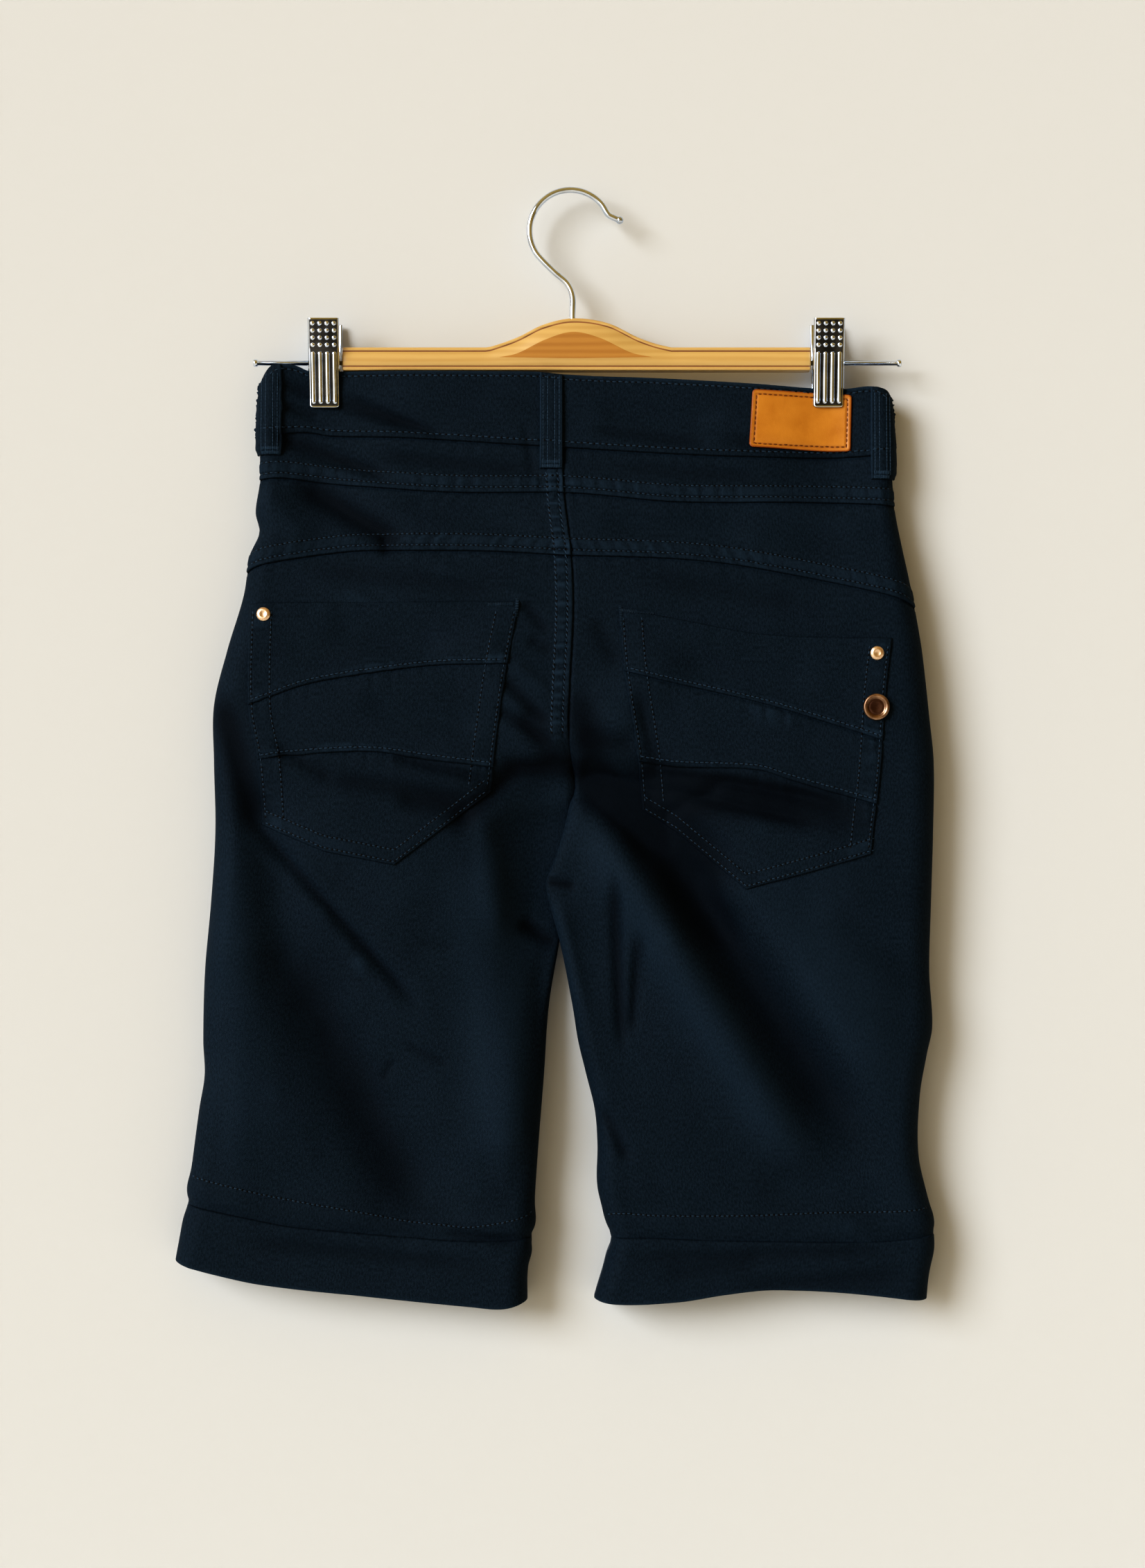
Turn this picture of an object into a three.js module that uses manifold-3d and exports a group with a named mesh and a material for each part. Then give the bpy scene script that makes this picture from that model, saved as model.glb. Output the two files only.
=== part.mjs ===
// Bermuda shorts, seen from behind, hung flat by two clips on a wooden hanger.
// Millimetres, +Z up, the garment's back faces -Y. The origin is the inside top of the hook.

import * as THREE from 'three';
import { mergeVertices } from 'three/addons/utils/BufferGeometryUtils.js';
import Module from 'manifold-3d';

const wasm = await Module();
wasm.setup();

// Driving dimensions
const clothWall = 1.2;
const bandWall = 2.4;
const leatherWall = 1.3;
const seamGap = 0.3;
const crotchZ = -368;
const crotchRise = 28;
const rodZ = -108.2;
const rodRadius = 1.6;
const clipWidth = 19.6;
const clipTopZ = -81.8;
const clipTipZ = -137;
const wireRadius = 1.9;

// Edge of the body at each height, from the waist down to the hem.
const leftSideRows = [
  { z: -109, x: -187 },
  { z: -115, x: -191.5 },
  { z: -124, x: -195 },
  { z: -142, x: -196.5 },
  { z: -166, x: -197.5 },
  { z: -183, x: -197.3 },
  { z: -203, x: -200.2 },
  { z: -216, x: -197.8 },
  { z: -230, x: -203.5 },
  { z: -256, x: -207.7 },
  { z: -291, x: -218.2 },
  { z: -326, x: -226.6 },
  { z: -361, x: -226.6 },
  { z: -405, x: -225.7 },
  { z: -450, x: -228.4 },
  { z: -494, x: -232.3 },
  { z: -538, x: -233.4 },
  { z: -560, x: -232.5 },
  { z: -582, x: -236 },
  { z: -621, x: -241.1 },
  { z: -641, x: -243.4 },
  { z: -680, x: -250.5 },
];
const rightSideRows = [
  { z: -122, x: 196 },
  { z: -131, x: 200.6 },
  { z: -146, x: 202 },
  { z: -164, x: 203.3 },
  { z: -184, x: 204 },
  { z: -200, x: 205 },
  { z: -225, x: 209.9 },
  { z: -245, x: 214.3 },
  { z: -264, x: 218 },
  { z: -291, x: 222.6 },
  { z: -335, x: 227.5 },
  { z: -362, x: 230.1 },
  { z: -406, x: 229.7 },
  { z: -450, x: 228.4 },
  { z: -494, x: 227.3 },
  { z: -529, x: 229.2 },
  { z: -547, x: 225.7 },
  { z: -573, x: 221.3 },
  { z: -610, x: 220.4 },
  { z: -641, x: 227 },
  { z: -661, x: 230.3 },
  { z: -687, x: 226 },
  { z: -702, x: 224.5 },
];

// Seat seam down the middle, then the inner edge of each leg below the crotch.
const seatSeamRows = [
  { z: -150, x: -5.5 },
  { z: -191, x: -4.4 },
  { z: -229, x: 0 },
  { z: -266, x: 1.3 },
  { z: -315, x: -0.9 },
  { z: -345, x: -1.6 },
  { z: -368, x: 1.5 },
];
const leftInseamRows = [
  { z: -368, x: 1.3 },
  { z: -380, x: 0.6 },
  { z: -400, x: 0.6 },
  { z: -440, x: -2.5 },
  { z: -476, x: -7.5 },
  { z: -516, x: -14.1 },
  { z: -560, x: -17.2 },
  { z: -604, x: -20.7 },
  { z: -643, x: -23.4 },
  { z: -670, x: -25.4 },
  { z: -683, x: -28.4 },
  { z: -702, x: -28.4 },
];
const rightInseamRows = [
  { z: -368, x: 1.7 },
  { z: -380, x: 2.4 },
  { z: -388, x: -0.8 },
  { z: -401, x: -3.7 },
  { z: -423, x: -10.4 },
  { z: -437, x: -15.8 },
  { z: -446, x: -15 },
  { z: -476, x: -7 },
  { z: -516, x: 0.9 },
  { z: -538, x: 4.4 },
  { z: -560, x: 9.7 },
  { z: -582, x: 15 },
  { z: -604, x: 16.7 },
  { z: -632, x: 16.8 },
  { z: -661, x: 25 },
  { z: -676, x: 22.5 },
  { z: -700, x: 15.6 },
];

// Seams and edges that run across, as heights at each place from side to side.
const bandTopRows = [
  { x: -194, z: -119 },
  { x: -191, z: -114 },
  { x: -187.5, z: -110.6 },
  { x: -181, z: -109.4 },
  { x: -174, z: -110.4 },
  { x: -166, z: -113.6 },
  { x: -145, z: -113.9 },
  { x: -90, z: -113.9 },
  { x: -46, z: -114.2 },
  { x: -21, z: -114.6 },
  { x: -6, z: -116.2 },
  { x: 17, z: -117.5 },
  { x: 55, z: -118.8 },
  { x: 103, z: -121.4 },
  { x: 153, z: -124.5 },
  { x: 173, z: -125 },
  { x: 192, z: -123.8 },
  { x: 202, z: -129.4 },
];
const frontBandTopRows = [
  { x: -194, z: -119 },
  { x: -186, z: -113.5 },
  { x: -166, z: -113.9 },
  { x: -46, z: -116.5 },
  { x: 55, z: -121 },
  { x: 153, z: -125 },
  { x: 192, z: -125 },
  { x: 202, z: -129.4 },
];
const bandSeamRows = [
  { x: -199, z: -154.6 },
  { x: -168, z: -152.7 },
  { x: -153, z: -154.9 },
  { x: -106, z: -156.6 },
  { x: -46, z: -160.2 },
  { x: 53, z: -166.3 },
  { x: 105, z: -168.5 },
  { x: 166, z: -169 },
  { x: 205, z: -167 },
];
const basqueSeamRows = [
  { x: -198, z: -183 },
  { x: -181, z: -182.2 },
  { x: -138, z: -187 },
  { x: -74, z: -191.4 },
  { x: -1, z: -191.8 },
  { x: 59, z: -197.1 },
  { x: 92, z: -198 },
  { x: 166, z: -198 },
  { x: 205, z: -199.8 },
];
const yokeSeamRows = [
  { x: -208, z: -245.5 },
  { x: -204, z: -241.1 },
  { x: -190, z: -236.3 },
  { x: -142, z: -229.2 },
  { x: -109, z: -228.4 },
  { x: -52, z: -228.8 },
  { x: 0, z: -231.5 },
  { x: 48, z: -232.8 },
  { x: 82, z: -235 },
  { x: 115, z: -239.4 },
  { x: 183, z: -252.6 },
  { x: 208, z: -259.2 },
  { x: 218, z: -264.4 },
];
const leftHemRows = [
  { x: -252, z: -676.5 },
  { x: -228, z: -683.3 },
  { x: -195, z: -690.4 },
  { x: -129, z: -697.8 },
  { x: -63, z: -704.4 },
  { x: -43, z: -705.8 },
  { x: -27, z: -701.6 },
];
const rightHemRows = [
  { x: 14, z: -701.4 },
  { x: 31, z: -704.9 },
  { x: 47, z: -706.2 },
  { x: 71, z: -704.9 },
  { x: 96, z: -700.9 },
  { x: 145, z: -695.2 },
  { x: 177, z: -696.1 },
  { x: 226, z: -701.4 },
];
const hemLift = { x: 82, reach: 55, height: 4 };
const leftCuffRows = [
  { x: -245, z: -640.2 },
  { x: -212, z: -647.2 },
  { x: -179, z: -653.8 },
  { x: -146, z: -657.4 },
  { x: -88, z: -662.2 },
  { x: -55, z: -664 },
  { x: -23, z: -661.8 },
];
const rightCuffRows = [
  { x: 24, z: -661.8 },
  { x: 47, z: -661.3 },
  { x: 96, z: -663.1 },
  { x: 194, z: -663.5 },
  { x: 232, z: -659.6 },
];

// How far the back and the front stand from the middle plane, and how round the side folds are.
const depthRows = [
  { z: -112, back: 6.5, front: 6, sideRound: 6, innerRound: 8 },
  { z: -160, back: 8.5, front: 7.5, sideRound: 8, innerRound: 8 },
  { z: -200, back: 12, front: 9, sideRound: 11, innerRound: 8 },
  { z: -260, back: 16, front: 10, sideRound: 15, innerRound: 8 },
  { z: -340, back: 18, front: 11, sideRound: 17, innerRound: 8 },
  { z: -450, back: 17, front: 11, sideRound: 16, innerRound: 8 },
  { z: -560, back: 15, front: 11, sideRound: 14, innerRound: 11 },
  { z: -650, back: 14, front: 12, sideRound: 13, innerRound: 12 },
  { z: -706, back: 14, front: 13, sideRound: 13, innerRound: 12 },
];

// Where the legs cross below the crotch, the right one lies nearer and the left one farther.
const crossingRows = [
  { z: -318, right: 0, left: 0, thin: 0 },
  { z: -344, right: 0, left: 0, thin: 0.13 },
  { z: -366, right: 0, left: 0, thin: 0.45 },
  { z: -374, right: -1.2, left: 1, thin: 0.9 },
  { z: -392, right: -5.5, left: 5, thin: 1 },
  { z: -437, right: -8, left: 6.5, thin: 1 },
  { z: -476, right: -6, left: 6, thin: 1 },
  { z: -540, right: -2, left: 2, thin: 0.4 },
  { z: -600, right: 0, left: 0, thin: 0 },
];
const crossing = { flat: 16, reach: 62, edgeDepth: 3.2 };

// Largest folds: a soft ridge (height above 0) or trough from one end to the other.
const foldRows = [
  { face: 'back', half: 'left', x1: -214, z1: -400, x2: -210, z2: -640, width: 13, height: 2.5 },
  { face: 'back', half: 'left', x1: -194, z1: -378, x2: -178, z2: -500, width: 15, height: -5.5 },
  { face: 'back', half: 'left', x1: -180, z1: -492, x2: -84, z2: -645, width: 27, height: -6.5 },
  { face: 'back', half: 'left', x1: -197, z1: -403, x2: -99, z2: -512, width: 8, height: -1.6 },
  { face: 'back', half: 'left', x1: -54, z1: -420, x2: -36, z2: -610, width: 22, height: 5.5 },
  { face: 'back', half: 'left', x1: -16, z1: -480, x2: -30, z2: -630, width: 9, height: -3.5 },
  { face: 'back', half: 'right', x1: 34, z1: -378, x2: 184, z2: -606, width: 19, height: -8 },
  { face: 'back', half: 'right', x1: 12, z1: -396, x2: 142, z2: -606, width: 18, height: 5.5 },
  { face: 'back', half: 'right', x1: 150, z1: -400, x2: 196, z2: -520, width: 26, height: 3 },
  { face: 'back', half: 'both', x1: -60, z1: -280, x2: -12, z2: -360, width: 16, height: 2.5 },
  { face: 'back', half: 'both', x1: 60, z1: -290, x2: 12, z2: -360, width: 16, height: 2.5 },
  { face: 'front', half: 'left', x1: -25, z1: -372, x2: -150, z2: -600, width: 26, height: -3.5 },
  { face: 'front', half: 'left', x1: -90, z1: -400, x2: -60, z2: -660, width: 24, height: 2.5 },
  { face: 'front', half: 'right', x1: 20, z1: -376, x2: 70, z2: -640, width: 20, height: -2.5 },
  { face: 'front', half: 'right', x1: 90, z1: -400, x2: 150, z2: -640, width: 24, height: 2.5 },
];

// The two clips: where each is, and the cloth depth that it pinches the layers to.
const clips = [
  { name: 'left', x: -156.2, patchUnder: 0 },
  { name: 'right', x: 162.8, patchUnder: leatherWall + seamGap },
];
const pinch = { depth: 1.9, reachX: 30, reachZ: 75 };

function curve(rows, from, to) {
  const sorted = [...rows].sort((a, b) => a[from] - b[from]);
  const at = sorted.map((row) => row[from]);
  const out = sorted.map((row) => row[to]);
  const last = at.length - 1;
  const slope = (i) => {
    const before = Math.max(i - 1, 0);
    const after = Math.min(i + 1, last);
    return (out[after] - out[before]) / (at[after] - at[before]);
  };
  return (value) => {
    const held = Math.min(Math.max(value, at[0]), at[last]);
    let i = 0;
    while (i < last - 1 && at[i + 1] < held) {
      i += 1;
    }
    const span = at[i + 1] - at[i];
    const t = (held - at[i]) / span;
    const start = out[i] * (2 * t ** 3 - 3 * t ** 2 + 1) + slope(i) * span * (t ** 3 - 2 * t ** 2 + t);
    const end = out[i + 1] * (3 * t ** 2 - 2 * t ** 3) + slope(i + 1) * span * (t ** 3 - t ** 2);
    return start + end;
  };
}

function ease(value) {
  const held = Math.min(Math.max(value, 0), 1);
  return held * held * (3 - 2 * held);
}

function mix(a, b, part) {
  return a + (b - a) * part;
}

const seatSeam = curve(seatSeamRows, 'z', 'x');
const halves = {
  left: {
    name: 'left',
    out: -1,
    side: curve(leftSideRows, 'z', 'x'),
    inseam: curve(leftInseamRows, 'z', 'x'),
    hem: curve(leftHemRows, 'x', 'z'),
    cuffTop: curve(leftCuffRows, 'x', 'z'),
    shift: curve(crossingRows, 'z', 'left'),
  },
  right: {
    name: 'right',
    out: 1,
    side: curve(rightSideRows, 'z', 'x'),
    inseam: curve(rightInseamRows, 'z', 'x'),
    hem: curve(rightHemRows, 'x', 'z'),
    cuffTop: curve(rightCuffRows, 'x', 'z'),
    shift: curve(crossingRows, 'z', 'right'),
  },
};
const faces = {
  back: { name: 'back', sign: -1, depth: curve(depthRows, 'z', 'back') },
  front: { name: 'front', sign: 1, depth: curve(depthRows, 'z', 'front') },
};
const sideRound = curve(depthRows, 'z', 'sideRound');
const innerRound = curve(depthRows, 'z', 'innerRound');
const crossingThin = curve(crossingRows, 'z', 'thin');
const bandTop = curve(bandTopRows, 'x', 'z');
const frontBandTop = curve(frontBandTopRows, 'x', 'z');
const bandSeam = curve(bandSeamRows, 'x', 'z');
const basqueSeam = curve(basqueSeamRows, 'x', 'z');
const yokeSeam = curve(yokeSeamRows, 'x', 'z');

// Depth of one face away from the middle plane, before the edges are rounded.
function layerDepth(face, x, z, inward) {
  let open = 1;
  for (const clip of clips) {
    const across = (x - clip.x) / pinch.reachX;
    const below = Math.max(0, clipTipZ - z) / pinch.reachZ;
    open *= 1 - Math.exp(-across * across - below * below);
  }
  const full = mix(pinch.depth, face.depth(z), open);
  const edge = mix(crossing.edgeDepth, full, ease((inward - crossing.flat) / crossing.reach));
  return mix(full, edge, crossingThin(z));
}

// Sum of the folds of one face at a place, faded out towards the seat seam above the crotch.
function foldHeight(face, half, x, z) {
  let sum = 0;
  for (const fold of foldRows) {
    const here = fold.half === 'both' || fold.half === half.name;
    if (fold.face === face.name && here) {
      const dx = fold.x2 - fold.x1;
      const dz = fold.z2 - fold.z1;
      const lengthSquared = dx * dx + dz * dz;
      const along = ((x - fold.x1) * dx + (z - fold.z1) * dz) / lengthSquared;
      const off = ((x - fold.x1) * dz - (z - fold.z1) * dx) / Math.sqrt(lengthSquared);
      const ends = ease((along + 0.12) / 0.3) * ease((1.12 - along) / 0.3);
      const above = fold.half === 'both' ? 0 : ease((z - crotchZ) / 24);
      const middle = mix(1, ease(Math.abs(x) / 26), above);
      sum += fold.height * Math.exp(-((off / fold.width) ** 2)) * ends * middle;
    }
  }
  return sum;
}

const rollShare = 0.2;

// One point of a face's middle surface: s runs from 0 at the side fold to 1 at the middle
// or the inner edge of the leg, and z is its height.
function facePoint(face, half, s, z, gap) {
  const closed = z > crotchZ ? 1 - Math.sqrt(Math.max(0, 1 - ((crotchZ + crotchRise - z) / crotchRise) ** 2)) : 1;
  const roundIn = z > crotchZ + crotchRise ? 0 : closed;
  const outerEdge = half.side(z) - half.out * clothWall / 2;
  const tilt = Math.min(1, 1.6 * Math.sqrt(roundIn));
  const seamEdge = seatSeam(z) + half.out * (gap + clothWall * tilt) / 2;
  const legEdge = half.inseam(z) + half.out * clothWall / 2;
  const innerEdge = z > crotchZ ? seamEdge : legEdge;
  const sideWidth = sideRound(z);
  const innerWidth = innerRound(z);
  const outerAngle = (Math.min(s, rollShare) / rollShare) * Math.PI / 2;
  const innerAngle = (Math.min(1 - s, rollShare) / rollShare) * Math.PI / 2;
  const outerRun = sideWidth * (1 - Math.cos(outerAngle));
  const linearRun = innerAngle / (Math.PI / 2);
  const innerRun = innerWidth * mix(linearRun, 1 - Math.cos(innerAngle), roundIn);
  const flat = Math.min(Math.max((s - rollShare) / (1 - 2 * rollShare), 0), 1);
  const total = Math.abs(innerEdge - outerEdge);
  const run = s <= rollShare
    ? outerRun
    : s >= 1 - rollShare
      ? total - innerRun
      : mix(sideWidth, total - innerWidth, flat);
  const x = outerEdge - half.out * run;
  const inward = total - run;
  const rounding = Math.sin(outerAngle) * mix(1, Math.sin(innerAngle), roundIn);
  const crossed = z < crotchZ ? 1 - ease((inward - crossing.flat) / (crossing.reach + 30)) : 0;
  const middle = half.shift(z) * crossed;
  const depth = layerDepth(face, x, z, inward) * rounding;
  const fold = foldHeight(face, half, x, z) * rounding ** 2;
  const apart = seamGap / 2 * (1 + crossed) * (1 - rounding);
  return new THREE.Vector3(x, middle + face.sign * (depth + fold + apart), z);
}

// A point with its outward normal on the strip between two curves that run across.
function stripPoint(strip, s, v) {
  const place = (sAt, vAt) => {
    let x = mix(strip.half.side(crotchZ), 0, sAt);
    let z = 0;
    for (let turn = 0; turn < 6; turn += 1) {
      z = mix(strip.top(x), strip.bottom(x), vAt);
      x = facePoint(strip.face, strip.half, sAt, z, strip.gap).x;
    }
    return facePoint(strip.face, strip.half, sAt, z, strip.gap);
  };
  const step = 1e-3;
  const at = place(s, v);
  const acrossRun = place(s + step, v).sub(place(s - step, v));
  const downRun = place(s, Math.min(v + step, 1)).sub(place(s, Math.max(v - step, 0)));
  const normal = acrossRun.cross(downRun).normalize();
  return { at, normal: normal.multiplyScalar(-strip.face.sign * strip.half.out) };
}

function closedGeometry(points, triangles) {
  const corner = (i) => points[i];
  let volume = 0;
  for (const [a, b, c] of triangles) {
    volume += corner(a).dot(new THREE.Vector3().crossVectors(corner(b), corner(c)));
  }
  const wound = volume > 0 ? triangles : triangles.map(([a, b, c]) => [a, c, b]);
  const geometry = new THREE.BufferGeometry();
  geometry.setAttribute('position', new THREE.Float32BufferAttribute(points.flatMap((p) => p.toArray()), 3));
  geometry.setIndex(wound.flat());
  return geometry;
}

// A closed wall over a grid of points: from `inner` to `outer` along each point's normal.
function wallOver(grid, inner, outer) {
  const rows = grid.length;
  const columns = grid[0].length;
  const points = [];
  for (const offset of [outer, inner]) {
    for (const row of grid) {
      for (const { at, normal } of row) {
        points.push(at.clone().addScaledVector(normal, offset));
      }
    }
  }
  const index = (layer, i, j) => (layer * rows + i) * columns + j;
  const triangles = [];
  const quad = (a, b, c, d) => triangles.push([a, b, c], [a, c, d]);
  for (let i = 0; i + 1 < rows; i += 1) {
    for (let j = 0; j + 1 < columns; j += 1) {
      quad(index(0, i, j), index(0, i, j + 1), index(0, i + 1, j + 1), index(0, i + 1, j));
      quad(index(1, i, j), index(1, i + 1, j), index(1, i + 1, j + 1), index(1, i, j + 1));
    }
  }
  const rim = [];
  for (let j = 0; j + 1 < columns; j += 1) {
    rim.push([0, j]);
  }
  for (let i = 0; i + 1 < rows; i += 1) {
    rim.push([i, columns - 1]);
  }
  for (let j = columns - 1; j > 0; j -= 1) {
    rim.push([rows - 1, j]);
  }
  for (let i = rows - 1; i > 0; i -= 1) {
    rim.push([i, 0]);
  }
  rim.forEach(([i, j], k) => {
    const [nextI, nextJ] = rim[(k + 1) % rim.length];
    quad(index(0, i, j), index(1, i, j), index(1, nextI, nextJ), index(0, nextI, nextJ));
  });
  return closedGeometry(points, triangles);
}

// Columns across one half: close together in the two rounded edges.
const sideColumns = [0, 0.06, 0.12, rollShare];
const flatColumns = 8;

function columnsAcross(count) {
  const list = [...sideColumns];
  for (let i = 1; i < count; i += 1) {
    list.push(mix(rollShare, 1 - rollShare, i / count));
  }
  return [...list, ...sideColumns.map((s) => 1 - s).reverse()];
}

function evenRows(count) {
  return Array.from({ length: count + 1 }, (_, i) => i / count);
}

function gridOver(strip, columns, rows) {
  return rows.map((v) => columns.map((s) => stripPoint(strip, s, v)));
}

function solidOf(geometry) {
  const bare = geometry.clone();
  bare.deleteAttribute('normal');
  bare.deleteAttribute('uv');
  const merged = mergeVertices(bare, 1e-4);
  const vertProperties = new Float32Array(merged.attributes.position.array);
  const triVerts = new Uint32Array(merged.index.array);
  return new wasm.Manifold(new wasm.Mesh({ numProp: 3, vertProperties, triVerts }));
}

function geometryOf(solid) {
  const mesh = solid.getMesh();
  const geometry = new THREE.BufferGeometry();
  geometry.setAttribute('position', new THREE.Float32BufferAttribute(Array.from(mesh.vertProperties), 3));
  geometry.setIndex(Array.from(mesh.triVerts));
  return geometry;
}

// A straight prism along Y through an outline of [x, z] points, for cutting pieces to shape.
const prismReach = 60;

function prismThrough(outline) {
  const shape = new THREE.Shape(outline.map(([x, z]) => new THREE.Vector2(x, z)));
  const prism = new THREE.ExtrudeGeometry(shape, { depth: 2 * prismReach, bevelEnabled: false });
  prism.rotateX(Math.PI / 2);
  prism.translate(0, prismReach, 0);
  return solidOf(prism);
}

function cutToOutline(wall, outline) {
  return geometryOf(solidOf(wall).intersect(prismThrough(outline)));
}

// Materials
const finishes = {
  cloth: new THREE.MeshStandardMaterial({ color: 0x14202e, roughness: 0.85, metalness: 0 }),
  leather: new THREE.MeshStandardMaterial({ color: 0xb8691f, roughness: 0.6, metalness: 0 }),
  copper: new THREE.MeshStandardMaterial({ color: 0xa9764a, roughness: 0.4, metalness: 1 }),
  chrome: new THREE.MeshStandardMaterial({ color: 0xd4d2cc, roughness: 0.15, metalness: 1 }),
  wood: new THREE.MeshStandardMaterial({ color: 0xd9ab62, roughness: 0.45, metalness: 0 }),
  darkWood: new THREE.MeshStandardMaterial({ color: 0xa87a3e, roughness: 0.5, metalness: 0 }),
};

const shortsOnHanger = new THREE.Group();

function addPiece(name, geometry, finish) {
  const mesh = new THREE.Mesh(geometry, finishes[finish]);
  mesh.name = name;
  shortsOnHanger.add(mesh);
  return mesh;
}

const shifted = (line, by) => (x) => line(x) + by;
const across = columnsAcross(flatColumns);

// Near hem of the right leg, lifted a little so that the inside of the front shows below it.
function hemLine(face, half) {
  if (face.name === 'front' || half.name === 'left') {
    return half.hem;
  }
  return (x) => half.hem(x) + hemLift.height * Math.exp(-(((x - hemLift.x) / hemLift.reach) ** 4));
}

// A leg panel runs to its cuff line and on to the hem, so the cuff is laid on its own last rows.
// Just below the crotch it is parted into a rise and a leg, two simpler walls of one sewn panel.
const backRiseRows = [0, 0.08, 0.16, 0.23, 0.275, 0.3, 0.316, 0.332, 0.3546];
const backLegRows = [0.3554, 0.395, 0.45, 0.52, 0.6, 0.68, 0.76, 0.84, 0.92, 1];
const frontRiseRows = [0, 0.1, 0.2, 0.3, 0.37, 0.4, 0.417, 0.432, 0.4456];
const frontLegRows = [0.4463, 0.51, 0.58, 0.66, 0.74, 0.83, 0.92, 1];
const cuffRows = evenRows(3);
const cuffWall = 1.8;
const legGrids = {};
const cuffOver = clothWall / 2 + seamGap;

function addLeg(face, half) {
  const top = face.name === 'back' ? yokeSeam : bandSeam;
  const hem = hemLine(face, half);
  const upper = { face, half, gap: seamGap, top: shifted(top, -seamGap / 2), bottom: half.cuffTop };
  const lower = { face, half, gap: seamGap, top: half.cuffTop, bottom: hem };
  const riseGrid = gridOver(upper, across, face.name === 'back' ? backRiseRows : frontRiseRows);
  const thighGrid = gridOver(upper, across, face.name === 'back' ? backLegRows : frontLegRows);
  const lowerGrid = gridOver(lower, across, cuffRows);
  const legGrid = [...thighGrid, ...lowerGrid.slice(1)];
  legGrids[`${face.name}_${half.name}`] = [...riseGrid, ...legGrid];
  addPiece(`${face.name}_rise_${half.name}`, wallOver(riseGrid, -clothWall / 2, clothWall / 2), 'cloth');
  addPiece(`${face.name}_leg_${half.name}`, wallOver(legGrid, -clothWall / 2, clothWall / 2), 'cloth');
  addPiece(`cuff_${face.name}_${half.name}`, wallOver(lowerGrid, cuffOver, cuffOver + cuffWall), 'cloth');
}

for (const face of Object.values(faces)) {
  for (const half of Object.values(halves)) {
    addLeg(face, half);
  }
}

// Yoke and basque, one of each on either side of the seat seam.
const backStrips = [
  { name: 'back_yoke', top: basqueSeam, bottom: yokeSeam, rows: evenRows(3) },
  { name: 'back_basque', top: bandSeam, bottom: basqueSeam, rows: evenRows(2) },
];
for (const { name, top, bottom, rows } of backStrips) {
  for (const half of Object.values(halves)) {
    const strip = {
      face: faces.back,
      half,
      gap: seamGap,
      top: shifted(top, -seamGap / 2),
      bottom: shifted(bottom, seamGap / 2),
    };
    const grid = gridOver(strip, across, rows);
    addPiece(`${name}_${half.name}`, wallOver(grid, -clothWall / 2, clothWall / 2), 'cloth');
  }
}

// Waistband: whole across the back, and in two halves that lap at the front.
const bandAcross = columnsAcross(11);
const bandRows = evenRows(3);
const bandFootGap = 0.6;

function bandHalf(face, half, top) {
  return { face, half, gap: 0, top, bottom: shifted(bandSeam, bandFootGap) };
}

function fromSideToSide(rowsOf) {
  const left = rowsOf(halves.left);
  const right = rowsOf(halves.right);
  return left.map((row, i) => [...row, ...right[i].slice(0, -1).reverse()]);
}

const backBandGrid = fromSideToSide((half) => gridOver(bandHalf(faces.back, half, bandTop), bandAcross, bandRows));
addPiece('waistband_back', wallOver(backBandGrid, -bandWall / 2, bandWall / 2), 'cloth');

const lap = { over: 16, under: -18, blend: 26 };

// The front's left half runs over the middle, and its right half lies under it there.
const frontBandGrid = fromSideToSide((half) => gridOver(bandHalf(faces.front, half, frontBandTop), bandAcross, bandRows));
const frontBandOver = frontBandGrid.map((row) => row.filter(({ at }) => at.x < lap.over));
const frontBandUnder = frontBandGrid.map((row) => row
  .filter(({ at }) => at.x > lap.under)
  .map(({ at, normal }) => {
    const inside = (bandWall + seamGap) * ease((lap.over + lap.blend - at.x) / lap.blend);
    return { at: at.clone().addScaledVector(normal, -inside), normal };
  }));
addPiece('waistband_front_left', wallOver(frontBandOver, -bandWall / 2, bandWall / 2), 'cloth');
addPiece('waistband_front_right', wallOver(frontBandUnder, -bandWall / 2, bandWall / 2), 'cloth');

// A strip of loop or patch: a grid over the waistband and what lies under it, moved out.
function outwardAt(face, half, x, z) {
  let low = 0;
  let high = 1;
  for (let turn = 0; turn < 24; turn += 1) {
    const s = (low + high) / 2;
    const before = (facePoint(face, half, s, z, 0).x - x) * half.out > 0;
    low = before ? s : low;
    high = before ? high : s;
  }
  const level = { face, half, gap: 0, top: () => z, bottom: () => z - 1 };
  return stripPoint(level, low, 0);
}

const loopWidth = 14.5;
const loopWall = 1.5;
const loopRise = 1;
const loopColumns = 6;
const loopEnd = 0.6;
const beltLoops = [
  { name: 'centre', face: 'back', half: 'left', x: -12.5, bottom: -176.4 },
  { name: 'left', face: 'back', half: 'left', x: -190.6, bottom: -167.5 },
  { name: 'right', face: 'back', half: 'right', x: 197, bottom: -183 },
  { name: 'front_left', face: 'front', half: 'left', x: -95, bottom: -174 },
  { name: 'front_right', face: 'front', half: 'right', x: 95, bottom: -180 },
];

// What a loop keeps clear of: the waistband with the gap added all over its outer side.
const backBandSeat = solidOf(wallOver(backBandGrid, 0, bandWall / 2 + seamGap));
const frontBandSeat = solidOf(wallOver(frontBandGrid, 0, bandWall / 2 + seamGap));

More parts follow.
